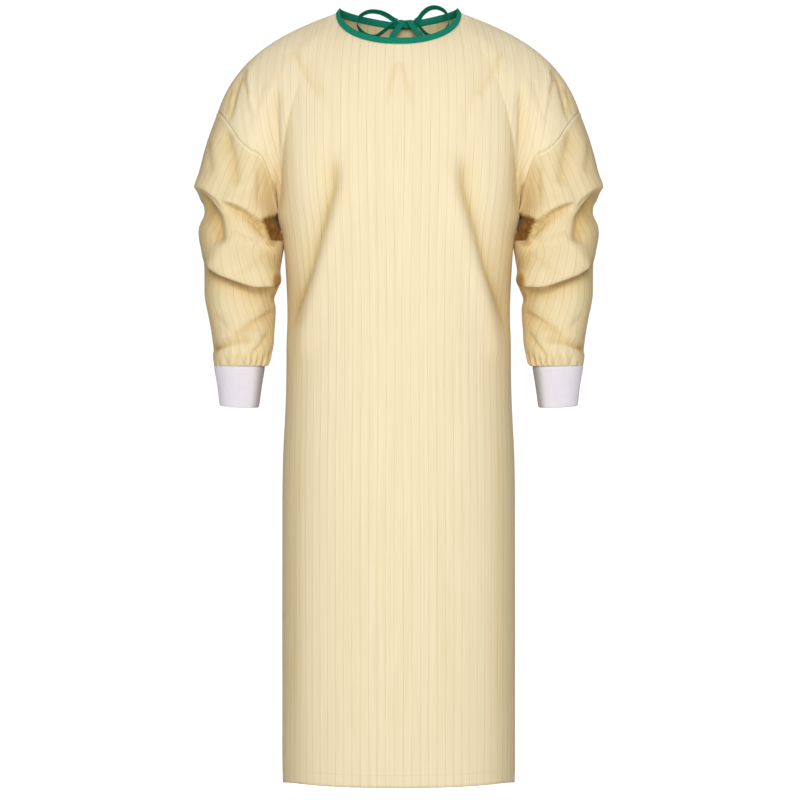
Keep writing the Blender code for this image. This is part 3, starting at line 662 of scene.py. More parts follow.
def fold_depth(points, ways):
    """How far the folds move each point along its outward way, and how much painted shade they give it."""
    flat = np.stack([np.abs(points[:, 0]), points[:, 2]], axis=1)
    total, shading = np.zeros(len(points)), np.zeros(len(points))
    for fold in FOLDS:
        towards = ways[:, 1] * (-FOLD_FACING if fold.face == "front" else FOLD_FACING)
        facing_it = np.clip(towards + FOLD_WRAP, 0, 1)
        path = np.array(fold.path, float)
        starts = run_of(path)
        run_x, run_z = path[-1] - path[0]
        up_from = np.array([-run_z, run_x]) * (1 if run_x > 0 else -1)
        best = np.full(len(points), 1e9)
        side = np.zeros(len(points))
        along = np.zeros(len(points))
        for i, length in enumerate(np.linalg.norm(np.diff(path, axis=0), axis=1)):
            step = (path[i + 1] - path[i]) / length
            rel = flat - path[i]
            run = np.clip(rel @ step, 0, length)
            off = rel - run[:, None] * step
            far = np.linalg.norm(off, axis=1)
            nearer = far < best
            best = np.where(nearer, far, best)
            side = np.where(nearer, off @ up_from, side)
            along = np.where(nearer, (starts[i] + run) / starts[-1], along)
        off = best / np.where(side > 0, fold.above, fold.below)
        if fold.depth > 0 or min(fold.above, fold.below) > SOFT_WIDTH:
            shape = np.exp(-(off**2))
        else:
            shape = np.exp(-CREASE_SHARP * (np.sqrt(off**2 + CREASE_ROUND**2) - CREASE_ROUND))
        ends = smooth_step(along, 0, FOLD_END) * (1 - smooth_step(along, 1 - FOLD_END, 1))
        total += fold.depth * shape * ends * facing_it
        shading += fold.shade * shape * ends * facing_it
    return total, shading


def off_centre(points, spot):
    """How far each point lies from the centre of a puff or shade, squared, as a share of its size."""
    return ((np.abs(points[:, 0]) - spot.x) / spot.wide) ** 2 + ((points[:, 2] - spot.z) / spot.high) ** 2


def puff_depth(points):
    """How far the puffs move each point of a sleeve along its outward way."""
    return sum(puff.push * np.exp(-off_centre(points, puff)) for puff in PUFFS)


def in_pocket(points):
    """1 inside the pocket's outline, 0 outside, eased over its edge."""
    flat = np.stack([np.abs(points[:, 0]), points[:, 2]], axis=1)
    least = np.full(len(points), 1e9)
    for start, end in zip(np.array(POCKET, float), np.roll(np.array(POCKET, float), -1, axis=0)):
        run = (end - start) / np.linalg.norm(end - start)
        least = np.minimum(least, (flat - start) @ np.array([run[1], -run[0]]))
    return smooth_step(least, -POCKET_EDGE / 2, POCKET_EDGE / 2)


def tear_shade(points):
    """The faint darker outline of painted shade that the gap of the back gives the chest."""
    down = np.clip((TEAR_TOP_Z - points[:, 2]) / TEAR_HEIGHT, 0, 1)
    edge = TEAR_HALF_WIDTH * down**TEAR_FLARE
    line = np.exp(-(((np.abs(points[:, 0]) - edge) / TEAR_EDGE) ** 2))
    shown = smooth_step(down, 0, 0.12) * (1 - smooth_step(down, 0.45, 1))
    return TEAR_SHADE * line * shown


def gather_depth(grid):
    """Gathers round a sleeve's end: their depth, how deep each lies, and how far they roll over the cuff."""
    turn = np.arange(grid.shape[1]) / grid.shape[1]
    wave = np.sin(2 * math.pi * (GATHERS * turn + GATHER_SPREAD * np.sin(6 * math.pi * turn)))
    inner = 0.5 - 0.5 * np.cos(2 * math.pi * turn)
    uneven = 0.3 + 0.25 * np.sin(2 * math.pi * (5 * turn + 0.2)) ** 2
    uneven += 0.8 * np.exp(-(((turn - 0.41) / 0.11) ** 2)) + 0.35 * smooth_step(turn, 0.55, 0.7)
    height = GATHER_HEIGHT * (0.35 + 0.75 * inner + 0.3 * np.sin(2 * math.pi * (3 * turn + 0.6)))
    above = grid[:, :, 2] - SLEEVE_END_Z
    rise = np.sqrt(np.clip(1 - (1 - np.clip(above / GATHER_ROUND, 0, 1)) ** 2, 0, 1))
    fade = 1 - smooth_step(above / height, 0.1, 1)
    puff = GATHER_PUFF * (0.2 + 0.8 * inner) * (1 - smooth_step(above, 12, 60))
    pleat = np.where(wave > 0, wave, -(np.abs(wave) ** GATHER_PINCH)) * uneven * fade
    drop = GATHER_DROP * (1 + pleat) * rise * (1 - smooth_step(above, 2, 14))
    return rise * (pleat * GATHER_DEPTH + puff), pleat * rise, drop


def run_down(grid):
    """Length down each column of a grid, from its first row to each point."""
    steps = np.linalg.norm(np.diff(grid, axis=0), axis=2)
    return np.concatenate([np.zeros((1, grid.shape[1])), np.cumsum(steps, axis=0)])


def seam_ridge(grid):
    """The felled armhole seam: a low ridge on the sleeve's side with a fine groove at the seam itself."""
    run = run_down(grid)
    ridge = SEAM_RIDGE * np.exp(-(((run - SEAM_RIDGE_AT) / SEAM_RIDGE_WIDTH) ** 2))
    return ridge - SEAM_GROOVE * np.exp(-((run / SEAM_GROOVE_WIDTH) ** 2))


ways = directions(cloth_points)["all"]
depth, shade = fold_depth(cloth_points, ways)
depth *= smooth_step(cloth_points[:, 2], SLEEVE_END_Z, SLEEVE_END_Z + FOLDS_END_ABOVE_CUFF)
sag = SAG * np.maximum(depth, 0)
on_sleeve = np.any(facing(cloth_points, "sleeve"), axis=1) & ~np.any(facing(cloth_points, "body"), axis=1)
depth += np.where(on_sleeve, puff_depth(cloth_points), 0)
drop = np.zeros(len(depth))
for name in ("sleeve_left", "sleeve_right"):
    piece = pieces[name]
    gathers, pleat, roll = (values.reshape(-1) for values in gather_depth(piece.grid))
    ridge = seam_ridge(piece.grid).reshape(-1)
    depth[piece.index] += gathers + ridge
    # Painted highlight: the sleeve's painted shade is taken off again along the felled seam's ridge
    shade[piece.index] -= SHADE_SLEEVE * np.maximum(ridge, 0) / SEAM_RIDGE
    # Painted shade in the valleys of the gathers
    shade[piece.index] += SHADE_GATHER * np.maximum(-pleat, 0)
    drop[piece.index] = roll
cloth_points = cloth_points + ways * depth[:, None]
cloth_points[:, 2] -= sag + drop
before = smooth_step(-ways[:, 1], -0.1, 0.4) * on_sleeve
pocket = in_pocket(cloth_points) * before
# Painted shade: the flanks turned away from the light, the whole sleeves, and the pocket in full
shade += SHADE_FLANK * smooth_step(np.abs(ways[:, 0]), 0.45, 0.95) + SHADE_SLEEVE * on_sleeve + pocket
# Painted shade in spots deep in the folds, on the sleeves' fronts
for spot in SHADES:
    shade += spot.share * np.exp(-(off_centre(cloth_points, spot) ** 2)) * before
# Painted shade: the tear's outline on the front
front_index = np.unique(pieces["front"].index)
shade[front_index] += tear_shade(cloth_points[front_index])
cloth_points[:, 1] += POCKET_DEEP * pocket
cloth_ways = directions(cloth_points)


# Cloth
# One polyester-cotton weave for the whole gown: pale yellow, with a fine grey-olive pin line woven in along
# the grain every 13 mm, slubs that streak it between the lines, and a slightly soft, matte face.
LINE_PITCH = 0.0134
LINE_HALF_WIDTH = 0.0006
CLOTH_COLOUR = (0.90, 0.765, 0.505)
CLOTH_LIGHT = (0.95, 0.825, 0.575)
CLOTH_DARK = (0.84, 0.70, 0.435)
CLOTH_LINE = (0.71, 0.59, 0.375)
CLOTH_THICK = 0.7
# Painted shade raises the colour to a power, which browns it, and mixes in some black
SHADE_POWER = 4.0
SHADE_BLACK = 0.6
WARP_PITCH = 0.00052
WEFT_PITCH = 0.00058


def link(tree, source, target):
    """Joins a node's first or named output to an input."""
    tree.links.new(source if isinstance(source, bpy.types.NodeSocket) else source.outputs[0], target)


def maths(tree, operation, *values):
    """A maths node on numbers or other nodes."""
    node = tree.nodes.new("ShaderNodeMath")
    node.operation = operation
    for socket, value in zip(node.inputs, values):
        if isinstance(value, (int, float)):
            socket.default_value = value
        else:
            link(tree, value, socket)
    return node


def stretched_noise(tree, where, across, along, detail, level):
    """Noise in the cut's own coordinates, with its own scale across and along the grain."""
    scale = tree.nodes.new("ShaderNodeVectorMath")
    scale.operation = "MULTIPLY"
    scale.inputs[1].default_value = (across, along, 1)
    link(tree, where, scale.inputs[0])
    shift = tree.nodes.new("ShaderNodeVectorMath")
    shift.inputs[1].default_value = (level, level * 2.3, 0)
    link(tree, scale, shift.inputs[0])
    noise = tree.nodes.new("ShaderNodeTexNoise")
    noise.noise_dimensions = "2D"
    noise.inputs["Scale"].default_value = 1
    noise.inputs["Detail"].default_value = detail
    link(tree, shift, noise.inputs["Vector"])
    return noise


def mix_colour(tree, share, first_colour, second_colour):
    """Mixes two colours or nodes by a share from a node."""
    node = tree.nodes.new("ShaderNodeMix")
    node.data_type = "RGBA"
    link(tree, share, node.inputs[0])
    for socket, value in ((node.inputs[6], first_colour), (node.inputs[7], second_colour)):
        if isinstance(value, tuple):
            socket.default_value = (*value, 1)
        else:
            link(tree, value, socket)
    return node.outputs[2]


def bump(tree, shader, height, distance, strength):
    """Fine relief from a height node."""
    node = tree.nodes.new("ShaderNodeBump")
    node.inputs["Strength"].default_value = strength
    node.inputs["Distance"].default_value = distance
    link(tree, height, node.inputs["Height"])
    link(tree, node, shader.inputs["Normal"])


def cut_map(tree):
    """The map of a piece's flat cut, in metres, and its two sides apart."""
    cut = tree.nodes.new("ShaderNodeUVMap")
    cut.uv_map = "cut"
    split = tree.nodes.new("ShaderNodeSeparateXYZ")
    link(tree, cut, split.inputs[0])
    return cut, split.outputs["X"], split.outputs["Y"]


def fold_shade(tree):
    """How much painted shade each point of a piece carries, from its shade attribute."""
    deep = tree.nodes.new("ShaderNodeAttribute")
    deep.attribute_name = "shade"
    return deep.outputs["Fac"]


def fabric_face(shader, shine, sheen, softness=0.5, tint=(1.0, 1.0, 1.0)):
    """The faint shine and the nap of a fabric."""
    shader.inputs["Specular IOR Level"].default_value = shine
    shader.inputs["Sheen Weight"].default_value = sheen
    shader.inputs["Sheen Roughness"].default_value = softness
    shader.inputs["Sheen Tint"].default_value = (*tint, 1)


def woven_cloth():
    """The gown's yellow pinstriped cloth, browned and darkened by painted shade where its pieces carry it.
    """
    mat, tree, shader = node_shader("gown_weave", 0.82)
    cut, across, along = cut_map(tree)
    place = maths(tree, "DIVIDE", across, LINE_PITCH)
    off = maths(tree, "ABSOLUTE", maths(tree, "SUBTRACT", maths(tree, "FRACT", place), 0.5))
    off = maths(tree, "DIVIDE", off, 1.5 * LINE_HALF_WIDTH / LINE_PITCH)
    line = maths(tree, "SUBTRACT", 1.0, maths(tree, "SMOOTH_MIN", off, 1.0, 0.4))
    line.use_clamp = True
    broken = stretched_noise(tree, cut, 75, 14, 2, 4.0)
    line = maths(tree, "MULTIPLY", line, maths(tree, "ADD", maths(tree, "MULTIPLY", broken, 0.9), 0.2))
    slub = stretched_noise(tree, cut, 900, 9, 3, 11.0)
    broad = stretched_noise(tree, cut, 190, 3, 2, 31.0)
    streak = maths(tree, "ADD", maths(tree, "MULTIPLY", slub, 1.3), maths(tree, "MULTIPLY", broad, 0.9))
    streak = maths(tree, "SUBTRACT", streak, 0.55)
    streak.use_clamp = True
    ground = mix_colour(tree, streak, CLOTH_DARK, CLOTH_LIGHT)
    cloudy = stretched_noise(tree, cut, 6, 6, 3, 3.0)
    ground = mix_colour(tree, maths(tree, "MULTIPLY", cloudy, 0.25), ground, CLOTH_COLOUR)
    colour = mix_colour(tree, line, ground, CLOTH_LINE)
    # Painted shade from the pieces' shade attribute browns and darkens the colour
    deep = fold_shade(tree)
    shaded = tree.nodes.new("ShaderNodeGamma")
    link(tree, colour, shaded.inputs["Color"])
    link(tree, maths(tree, "MULTIPLY_ADD", deep, SHADE_POWER, 1.0), shaded.inputs["Gamma"])
    colour = mix_colour(tree, maths(tree, "MULTIPLY", deep, SHADE_BLACK), shaded, (0.0, 0.0, 0.0))
    link(tree, colour, shader.inputs["Base Color"])
    rough = maths(tree, "ADD", maths(tree, "MULTIPLY", slub, 0.14), 0.74)
    link(tree, rough, shader.inputs["Roughness"])
    warp = maths(tree, "SINE", maths(tree, "MULTIPLY", across, 2 * math.pi / WARP_PITCH))
    weft = maths(tree, "SINE", maths(tree, "MULTIPLY", along, 2 * math.pi / WEFT_PITCH))
    crossed = maths(tree, "MULTIPLY", maths(tree, "MULTIPLY", warp, weft), 0.35)
    bump(tree, shader, maths(tree, "ADD", crossed, slub), 0.00025, 0.5)
    fabric_face(shader, 0.25, 0.12, tint=(1.0, 0.95, 0.85))
    return mat


def lay_map(obj, places):
    """Gives a piece the map of its cut, a place for each corner of each face."""
    flat = np.asarray(places, np.float32).reshape(-1)
    obj.data.uv_layers.new(name="cut").data.foreach_set("uv", flat)


def lay_shade(obj, shares):
    """Gives each point of a piece its share of shade."""
    shares = np.asarray(shares, np.float32)
    obj.data.attributes.new("shade", "FLOAT", "POINT").data.foreach_set("value", shares)


def flat_area(corners):
    """Area of faces given by the places of their corners."""
    one, two = corners[:, 2] - corners[:, 0], corners[:, 3] - corners[:, 1]
    if corners.shape[2] == 2:
        return np.abs(one[:, 0] * two[:, 1] - one[:, 1] * two[:, 0]).sum() / 2
    return np.linalg.norm(np.cross(one, two), axis=1).sum() / 2


def flatten(grid, faces, upright):
    """A piece laid out flat without stretch, in metres, with one of its columns turned upright at x 0."""
    points = grid.reshape(-1, 3) * MM
    used, corners = np.unique(faces, return_inverse=True)
    corners = corners.reshape(faces.shape)
    mesh = bpy.data.meshes.new("layout")
    mesh.from_pydata(points[used].tolist(), [], corners.tolist())
    mesh.uv_layers.new(name="layout")
    obj = bpy.data.objects.new("layout", mesh)
    bpy.context.scene.collection.objects.link(obj)
    bpy.context.view_layer.objects.active = obj
    obj.select_set(True)
    bpy.ops.object.mode_set(mode="EDIT")
    bpy.ops.mesh.select_all(action="SELECT")
    bpy.ops.uv.unwrap(method="CONFORMAL", fill_holes=False, margin=0.0)
    bpy.ops.object.mode_set(mode="OBJECT")
    laid = np.zeros(len(mesh.loops) * 2)
    mesh.uv_layers["layout"].data.foreach_get("uv", laid)
    owner = np.zeros(len(mesh.loops), int)
    mesh.loops.foreach_get("vertex_index", owner)
    flat = np.zeros((len(points), 2))
    flat[used[owner]] = laid.reshape(-1, 2)
    bpy.data.objects.remove(obj)
    bpy.data.meshes.remove(mesh)
    enlarged = math.sqrt(flat_area(points[faces]) / flat_area(flat[faces]))
    flat = flat.reshape(*grid.shape[:2], 2) * enlarged
    up = unit(flat[YOKE_ROWS, upright] - flat[-1, upright])
    turned = np.stack([flat @ np.array([up[1], -up[0]]), flat @ up], axis=2)
    turned -= turned[0, upright]
    beside = grid[YOKE_ROWS, upright + 5, 0] - grid[YOKE_ROWS, upright, 0]
    turned[:, :, 0] *= np.sign(turned[YOKE_ROWS, upright + 5, 0] * beside)
    return turned


def cloth_shell(piece, cut, mat):
    """The piece as a thin closed shell on the folded cloth, with its cut as a map of the mesh."""
    ways_out = cloth_ways[piece.group][piece.index]
    outer = cloth_points[piece.index]
    used, corners = np.unique(piece.faces, return_inverse=True)
    corners = corners.reshape(piece.faces.shape)
    count = len(used)
    edges = np.concatenate([np.stack([corners[:, k], corners[:, (k + 1) % 4]], axis=1) for k in range(4)])
    maps = np.concatenate([np.stack([cut[:, k], cut[:, (k + 1) % 4]], axis=1) for k in range(4)])
    codes = np.sort(edges, axis=1) @ np.array([count, 1])
    _, where, times = np.unique(codes, return_index=True, return_counts=True)
    rim = where[times == 1]
    a, b = edges[rim, 0], edges[rim, 1]
    rim_faces = np.stack([b, a, a + count, b + count], axis=1)
    rim_cut = np.stack([maps[rim, 1], maps[rim, 0], maps[rim, 0], maps[rim, 1]], axis=1)
    faces = np.concatenate([corners, corners[:, ::-1] + count, rim_faces])
    places = np.concatenate([cut, cut[:, ::-1], rim_cut])
    points = np.vstack([outer[used], outer[used] - ways_out[used] * CLOTH_THICK])
    obj = mesh_object(piece.name + "_cloth", points, faces.tolist(), mat)
    lay_map(obj, places)
    deep = shade[piece.index][used]
    # The inner face carries more painted shade than the outer
    lay_shade(obj, np.clip(np.concatenate([deep, deep + SHADE_INSIDE]), 0, 1))
    return obj


def sewn(obj, node):
    """A piece that stands for its solid and moves with the gown."""
    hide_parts(node)
    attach(obj, "root")


weave = woven_cloth()


# Front
# One panel without a centre seam, from the neck edge and shoulders to the hem, its grain running straight
# down.
front = pieces["front"]
half_faces = grid_faces(*half_front.shape[:2], skip=lambda r, c: r >= YOKE_ROWS and c >= SIDE_COLUMNS)
half_cut = flatten(half_front, half_faces, 0)
front_cut = np.concatenate([(half_cut * np.array([-1, 1]))[:, :0:-1], half_cut], axis=1)
front_cut = front_cut.reshape(-1, 2)[front.faces]
front_cloth = cloth_shell(front, front_cut, weave)
sewn(front_cloth, "front")


# Backs
# Two panels open down the centre back. The wearer's right one laps over the left one below a gap shaped
# like a tear. Each is turned once and stitched along its free edge.
BACK_GRAIN_COLUMN = 26
for name in ("back_left", "back_right"):
    piece = pieces[name]
    back_cut = flatten(piece.grid, piece.faces, BACK_GRAIN_COLUMN).reshape(-1, 2)[piece.faces]
    cloth = cloth_shell(piece, back_cut, weave)
    sewn(cloth, name)


# Sleeves
# One piece each, closed by a seam under the arm, set into the armhole with a felled seam and gathered to
# the cuff.
def run_round(grid):
    """Length round each closed row of a grid, from its first point to each point and back to the first."""
    return run_down(np.concatenate([grid, grid[:, :1]], axis=1).transpose(1, 0, 2)).T


def face_corners(rows, columns):
    """Row and column of the four corners of each face of a tube, in the order of its faces."""
    r, c = np.divmod(np.arange(rows * columns), columns)
    return np.stack([r, r + 1, r + 1, r], axis=1), np.stack([c, c, c + 1, c + 1], axis=1)


for name in ("sleeve_left", "sleeve_right"):
    piece = pieces[name]
    across, down = run_round(piece.grid) * MM, -run_down(piece.grid).mean(axis=1) * MM
    r, c = face_corners(piece.grid.shape[0] - 1, piece.grid.shape[1])
    behind = c[:, :1] >= piece.grid.shape[1] // 2
    cut = np.stack([across[r, c] - np.where(behind, across[r, -1], 0), down[r]], axis=2)
    if name == "sleeve_left":
        cut = cut[:, ::-1]
    cloth = cloth_shell(piece, cut, weave)
    sewn(cloth, name)


# Cuffs
# White one-by-one rib knit, doubled: the fold is the lower edge, and the raw ends are caught in the seam
# with the sleeve.
CUFF = [
    Ring((295, -570), (214, -571), -36, 37, 37),
    Ring((289, -602), (219, -604), -41, 33, 33),
    Ring((285, -632), (223, -635), -46, 29, 29),
]
CUFF_RIBS = 78
POINTS_A_RIB = 4
CUFF_ROWS = 34
KNIT_THICK = 2.3
RIB_DEPTH = 0.42
CUFF_TILT = 2.2
KNIT_WHITE = (0.87, 0.825, 0.875)
KNIT_SHADE = (0.78, 0.735, 0.785)
KNIT_BAND = (0.66, 0.61, 0.67)
KNIT_PAINTED_SHADE = (0.20, 0.17, 0.18)
KNIT_COURSE = 0.0017
# Painted shade: the side of the cuff towards the body is darkened in its colour
KNIT_SHADE_SIDE = 0.72
CUFF_WAVES = 3
CUFF_WAVE = 0.25
CUFF_CURVE_POINTS = 1441
# The rounded fold at the lower edge and the caught upper edge: how far in and how far down
CUFF_LIP = ((0.55, -0.75), (1.45, -0.75))
CUFF_TOP = (0.8, 0.35)


def rib_knit():
    """White knit: fine courses across the ribs, with a soft fuzz, painted shade across each rib and painted
    shade on the side towards the body.
    """
    mat, tree, shader = node_shader("white_rib_knit", 0.9)
    cut, across, along = cut_map(tree)
    ribs = maths(tree, "FRACT", maths(tree, "MULTIPLY", across, CUFF_RIBS))
    valley = maths(tree, "ABSOLUTE", maths(tree, "SUBTRACT", ribs, 0.5))
    lean = maths(tree, "MULTIPLY", valley, 0.9)
    course = maths(tree, "ADD", maths(tree, "DIVIDE", along, KNIT_COURSE), lean)
    loops = maths(tree, "ABSOLUTE", maths(tree, "SINE", maths(tree, "MULTIPLY", course, math.pi)))
    fuzz = stretched_noise(tree, cut, 420, 900, 3, 6.0)
    # Painted shade across each rib, mottled by the fuzz
    shade = maths(tree, "SUBTRACT", 1.0, maths(tree, "MULTIPLY", valley, 1.5))
    shade = maths(tree, "MULTIPLY", shade, maths(tree, "ADD", maths(tree, "MULTIPLY", fuzz, 0.6), 0.15))
    colour = mix_colour(tree, shade, KNIT_WHITE, KNIT_SHADE)
    banded = stretched_noise(tree, cut, 3, 520, 2, 9.0)
    colour = mix_colour(tree, maths(tree, "MULTIPLY", banded, 0.22), colour, KNIT_BAND)
    # Painted shade on the side of the cuff towards the body
    colour = mix_colour(tree, fold_shade(tree), colour, KNIT_PAINTED_SHADE)
    link(tree, colour, shader.inputs["Base Color"])
    bump(tree, shader, maths(tree, "ADD", loops, maths(tree, "MULTIPLY", fuzz, 0.5)), 0.0005, 0.6)
    fabric_face(shader, 0.2, 0.25, 0.6)
    return mat


knit = rib_knit()
columns = CUFF_RIBS * POINTS_A_RIB
turn = np.arange(columns)
dense = np.linspace(0, 2 * math.pi, CUFF_CURVE_POINTS)
outer = np.array([
    by_length(ring_points(ring, dense), turn / columns)
    for ring in ring_rows(CUFF, np.linspace(0, len(CUFF) - 1, CUFF_ROWS))
])
centre = outer.mean(axis=1, keepdims=True)
away = unit((outer - centre) * np.array([1, 1, 0]))
down = np.linspace(0, 1, CUFF_ROWS)[:, None]
rib = RIB_DEPTH * (0.5 - 0.5 * np.cos(2 * math.pi * turn / POINTS_A_RIB))
soft = smooth_step(down, -0.02, 0.06) * (1 - 0.6 * smooth_step(down, 0.93, 1))
wavy = CUFF_WAVE * np.sin(2 * math.pi * CUFF_WAVES * turn / columns) * down
face = outer + away * (rib * soft + wavy)[:, :, None]
inside = outer - away * (KNIT_THICK - wavy)[:, :, None]
half_depth = np.ptp(outer[:, :, 1], axis=1)[:, None] / 2
for wall in (face, inside):
    wall[:, :, 2] -= CUFF_TILT * (centre[:, :, 1] - outer[:, :, 1]) / half_depth * down
lip = [face[-1] - away[-1] * inward + (0, 0, fall) for inward, fall in CUFF_LIP]
top = face[:1] - away[:1] * CUFF_TOP[0] + (0, 0, CUFF_TOP[1])
shell = np.concatenate([top, face[1:], np.array(lip), inside[::-1]])
count = len(shell)
knit_faces = grid_faces(count + 1, columns, closed=True) % (count * columns)
r, c = face_corners(count, columns)
run = run_down(shell).mean(axis=1) * MM
knit_cut = np.stack([c / columns, -run[np.minimum(r, count - 1)]], axis=2)
# Painted shade on the side of the cuff towards the body
shaded_side = KNIT_SHADE_SIDE * smooth_step(-away[:, :, 0].mean(axis=0), 0.6, 1.0)
round_run, height = run_round(outer)[:, -1] * MM, float(run_down(outer)[-1].mean() * MM)
for name, order in (("cuff_left", -1), ("cuff_right", 1)):
    points = shell if name == "cuff_left" else mirrored(shell)
    cuff = mesh_object(name + "_knit", points.reshape(-1, 3), knit_faces[:, ::order].tolist(), knit)
    lay_map(cuff, knit_cut[:, ::order])
    lay_shade(cuff, np.tile(shaded_side, count))
    sewn(cuff, name)


# Neck binding
# A green bias tape folded over the raw neck edge and stitched through, open at the centre back.
BINDING_WIDTH = 10.5
BINDING_UPRIGHT = 0.9
TAPE_GREEN = (0.001, 0.262, 0.158)
TAPE_DARK = (0.0008, 0.19, 0.112)
TAPE_THREAD_HIGHLIGHT = (0.008, 0.40, 0.25)
TAPE_PITCH = 0.0007
# up is the share of the width, out the distance from the neck edge's line, round the tape's section
Edge = namedtuple("Edge", "up out")
BINDING_SECTION = [
    Edge(-0.02, -0.2), Edge(-0.04, 0.35), Edge(0.03, 0.72), Edge(0.12, 0.66), Edge(0.20, 0.52),
    Edge(0.32, 0.66), Edge(0.55, 0.74), Edge(0.80, 0.66), Edge(0.94, 0.40), Edge(1.01, -0.25),
    Edge(1.03, -0.8), Edge(1.0, -1.45), Edge(0.90, -1.95), Edge(0.6, -2.1), Edge(0.3, -2.1),
    Edge(0.12, -2.05), Edge(0.0, -1.9), Edge(-0.03, -1.3), Edge(-0.03, -0.7),
]


def bias_tape():
    """Green tape: a fine weave that runs slantwise, with a painted highlight on its raised threads."""
    mat, tree, shader = node_shader("green_bias_tape", 0.62)
    cut, across, along = cut_map(tree)
    turns = 2 * math.pi / TAPE_PITCH
    slants = [maths(tree, way, across, along) for way in ("ADD", "SUBTRACT")]
    waves = [maths(tree, "SINE", maths(tree, "MULTIPLY", slant, turns)) for slant in slants]
    weave_height = maths(tree, "MULTIPLY", *waves)
    patchy = stretched_noise(tree, cut, 160, 420, 3, 2.0)
    colour = mix_colour(tree, patchy, TAPE_DARK, TAPE_GREEN)
    # Painted highlight on the raised threads of the weave
    thread = maths(tree, "MULTIPLY", maths(tree, "ADD", weave_height, 1.0), 0.10)
    colour = mix_colour(tree, thread, colour, TAPE_THREAD_HIGHLIGHT)
    link(tree, colour, shader.inputs["Base Color"])
    bump(tree, shader, maths(tree, "ADD", weave_height, maths(tree, "MULTIPLY", patchy, 2.0)), 0.0002, 0.5)
    fabric_face(shader, 0.16, 0.06, tint=(0.4, 0.9, 0.7))
    return mat


def swept(name, tubes, mat):
    """One mesh of closed tubes, each a row of rings of points, with its own map in metres."""
    points, faces, places = [], [], []
    for rings in tubes:
        base, (count, around) = len(points), rings.shape[:2]
        along = run_of(rings.mean(axis=1)) * MM
        turn = run_of(np.vstack([rings[0], rings[0][:1]])) * MM
        points += rings.reshape(-1, 3).tolist()
        for r in range(count - 1):
            for c in range(around):
                corners = ((r, c), (r, c + 1), (r + 1, c + 1), (r + 1, c))
                faces.append([base + i * around + j % around for i, j in corners])
                places += [(along[i], turn[j]) for i, j in corners]
        for r, order in ((0, range(around - 1, -1, -1)), (count - 1, range(around))):
            faces.append([base + r * around + c for c in order])
            places += [(along[r], turn[c]) for c in order]
    obj = mesh_object(name, points, faces, mat)
    lay_map(obj, places)
    return obj


def neck_line():
    """The folded cloth's neck edge from one free back edge to the other: points, rises, outward ways."""
    parts = []
    for row in (0, 1):
        line = []
        for name, order in (("back_right", 1), ("front", 1), ("back_left", -1)):
            numbers = pieces[name].index.reshape(pieces[name].grid.shape[:2])[row, ::order]
            line.append(numbers[1 if line else 0 :])
        parts.append(np.concatenate(line))
    edge, lower = cloth_points[parts[0]], cloth_points[parts[1]]
    rise = unit(unit(edge - lower) + np.array([0, 0, BINDING_UPRIGHT]))
    return edge, rise, cloth_ways["body"][parts[0]]


tape_green = bias_tape()
neck_points, neck_rise, neck_out = neck_line()
smooth = np.ones(9) / 9
for values in (neck_rise, neck_out):
    padded = np.pad(values, ((4, 4), (0, 0)), mode="edge")
    values[:] = unit(np.stack([np.convolve(padded[:, k], smooth, mode="valid") for k in range(3)], axis=1))
rings = np.stack([
    neck_points + neck_rise * (edge.up * BINDING_WIDTH) + neck_out * edge.out for edge in BINDING_SECTION
], axis=1)
binding = swept("neck_binding_tape", [rings[::-1]], tape_green)
sewn(binding, "neck_binding")


# Neck bow
# The binding runs on as two tapes, tied in a bow that sits on the back of the neck: its loops tip forward
# into the neck hole and its tails hang down inside.
TAPE_WIDTH = 9.0
TAPE_THICK = 1.2
LOOP_LEFT = [
    (28, 50, -4.8), (33, 48.2, -1.2), (40, 43.5, 7.5), (50, 35.5, 13.5), (62, 27, 13.5), (74, 18, 6.5),
    (80.5, 9.5, -6), (80, 5, -19), (73, 3, -29), (62, 8, -35), (51, 16, -34.5), (42, 27, -27),
    (34, 39, -15.5), (31.5, 44.6, -10.6), (27.8, 46.8, -9.4),
]
LOOP_RIGHT = [
    (-2.5, 51.4, -4.6), (-8, 50.2, -2.8), (-18, 44.5, 3), (-31, 34, 7), (-47, 24, 6.5), (-60.5, 13, -1),
    (-67, 6, -11), (-65, 2, -23), (-54, 4, -34), (-39, 14, -36), (-26, 27, -26), (-15, 39, -15.5),
    (-6.7, 45.6, -10.4), (-2.4, 48, -9),
]
LOOP_ACROSS_KNOT = (0, 0.5, -0.85)
LOOP_ACROSS_FAR = (0, 0.8, -0.6)
LOOP_TWIST = 0.22
TAIL_LEFT = [
    (20, 45.2, -6), (21.5, 44.7, -12), (28, 43.4, -21), (37, 41.8, -32), (42, 41.5, -54), (43, 42, -80),
    (44, 44, -108),
]
TAIL_RIGHT = [
    (5, 45.2, -6), (3, 44.7, -12), (-4, 43.4, -21), (-11, 41.8, -32), (-15, 41.5, -54), (-16, 42, -84),
    (-17, 44, -116),
]
TAIL_ACROSS = (1, 0.1, 0)
LOOP_STATIONS = 105
TAIL_STATIONS = 61
KNOT_STATIONS = 29
KNOT_CENTRE = (12.5, 50.8, -8.6)
KNOT_SIZE = (28.0, 9.0, 13.5)
KNOT_STRANDS = 4
KNOT_START = 0.5
KNOT_TWIST = 1.6
KNOT_TAPER = 0.45
KNOT_SAG = 2.6
STRAND_WIDTH = 6.6
STRAND_THICK = 3.0
# The folded tape's section: across its width and through its thickness, as shares of their halves
TAPE_SECTION = [
    (-1.0, -0.5), (-0.94, -1.0), (-0.80, -0.95), (-0.66, -0.72), (0.66, -0.72), (0.80, -0.95),
    (0.94, -1.0), (1.0, -0.5), (1.0, 0.5), (0.94, 1.0), (0.80, 0.95), (0.66, 0.72), (-0.66, 0.72),
    (-0.80, 0.95), (-0.94, 1.0), (-1.0, 0.5),
]


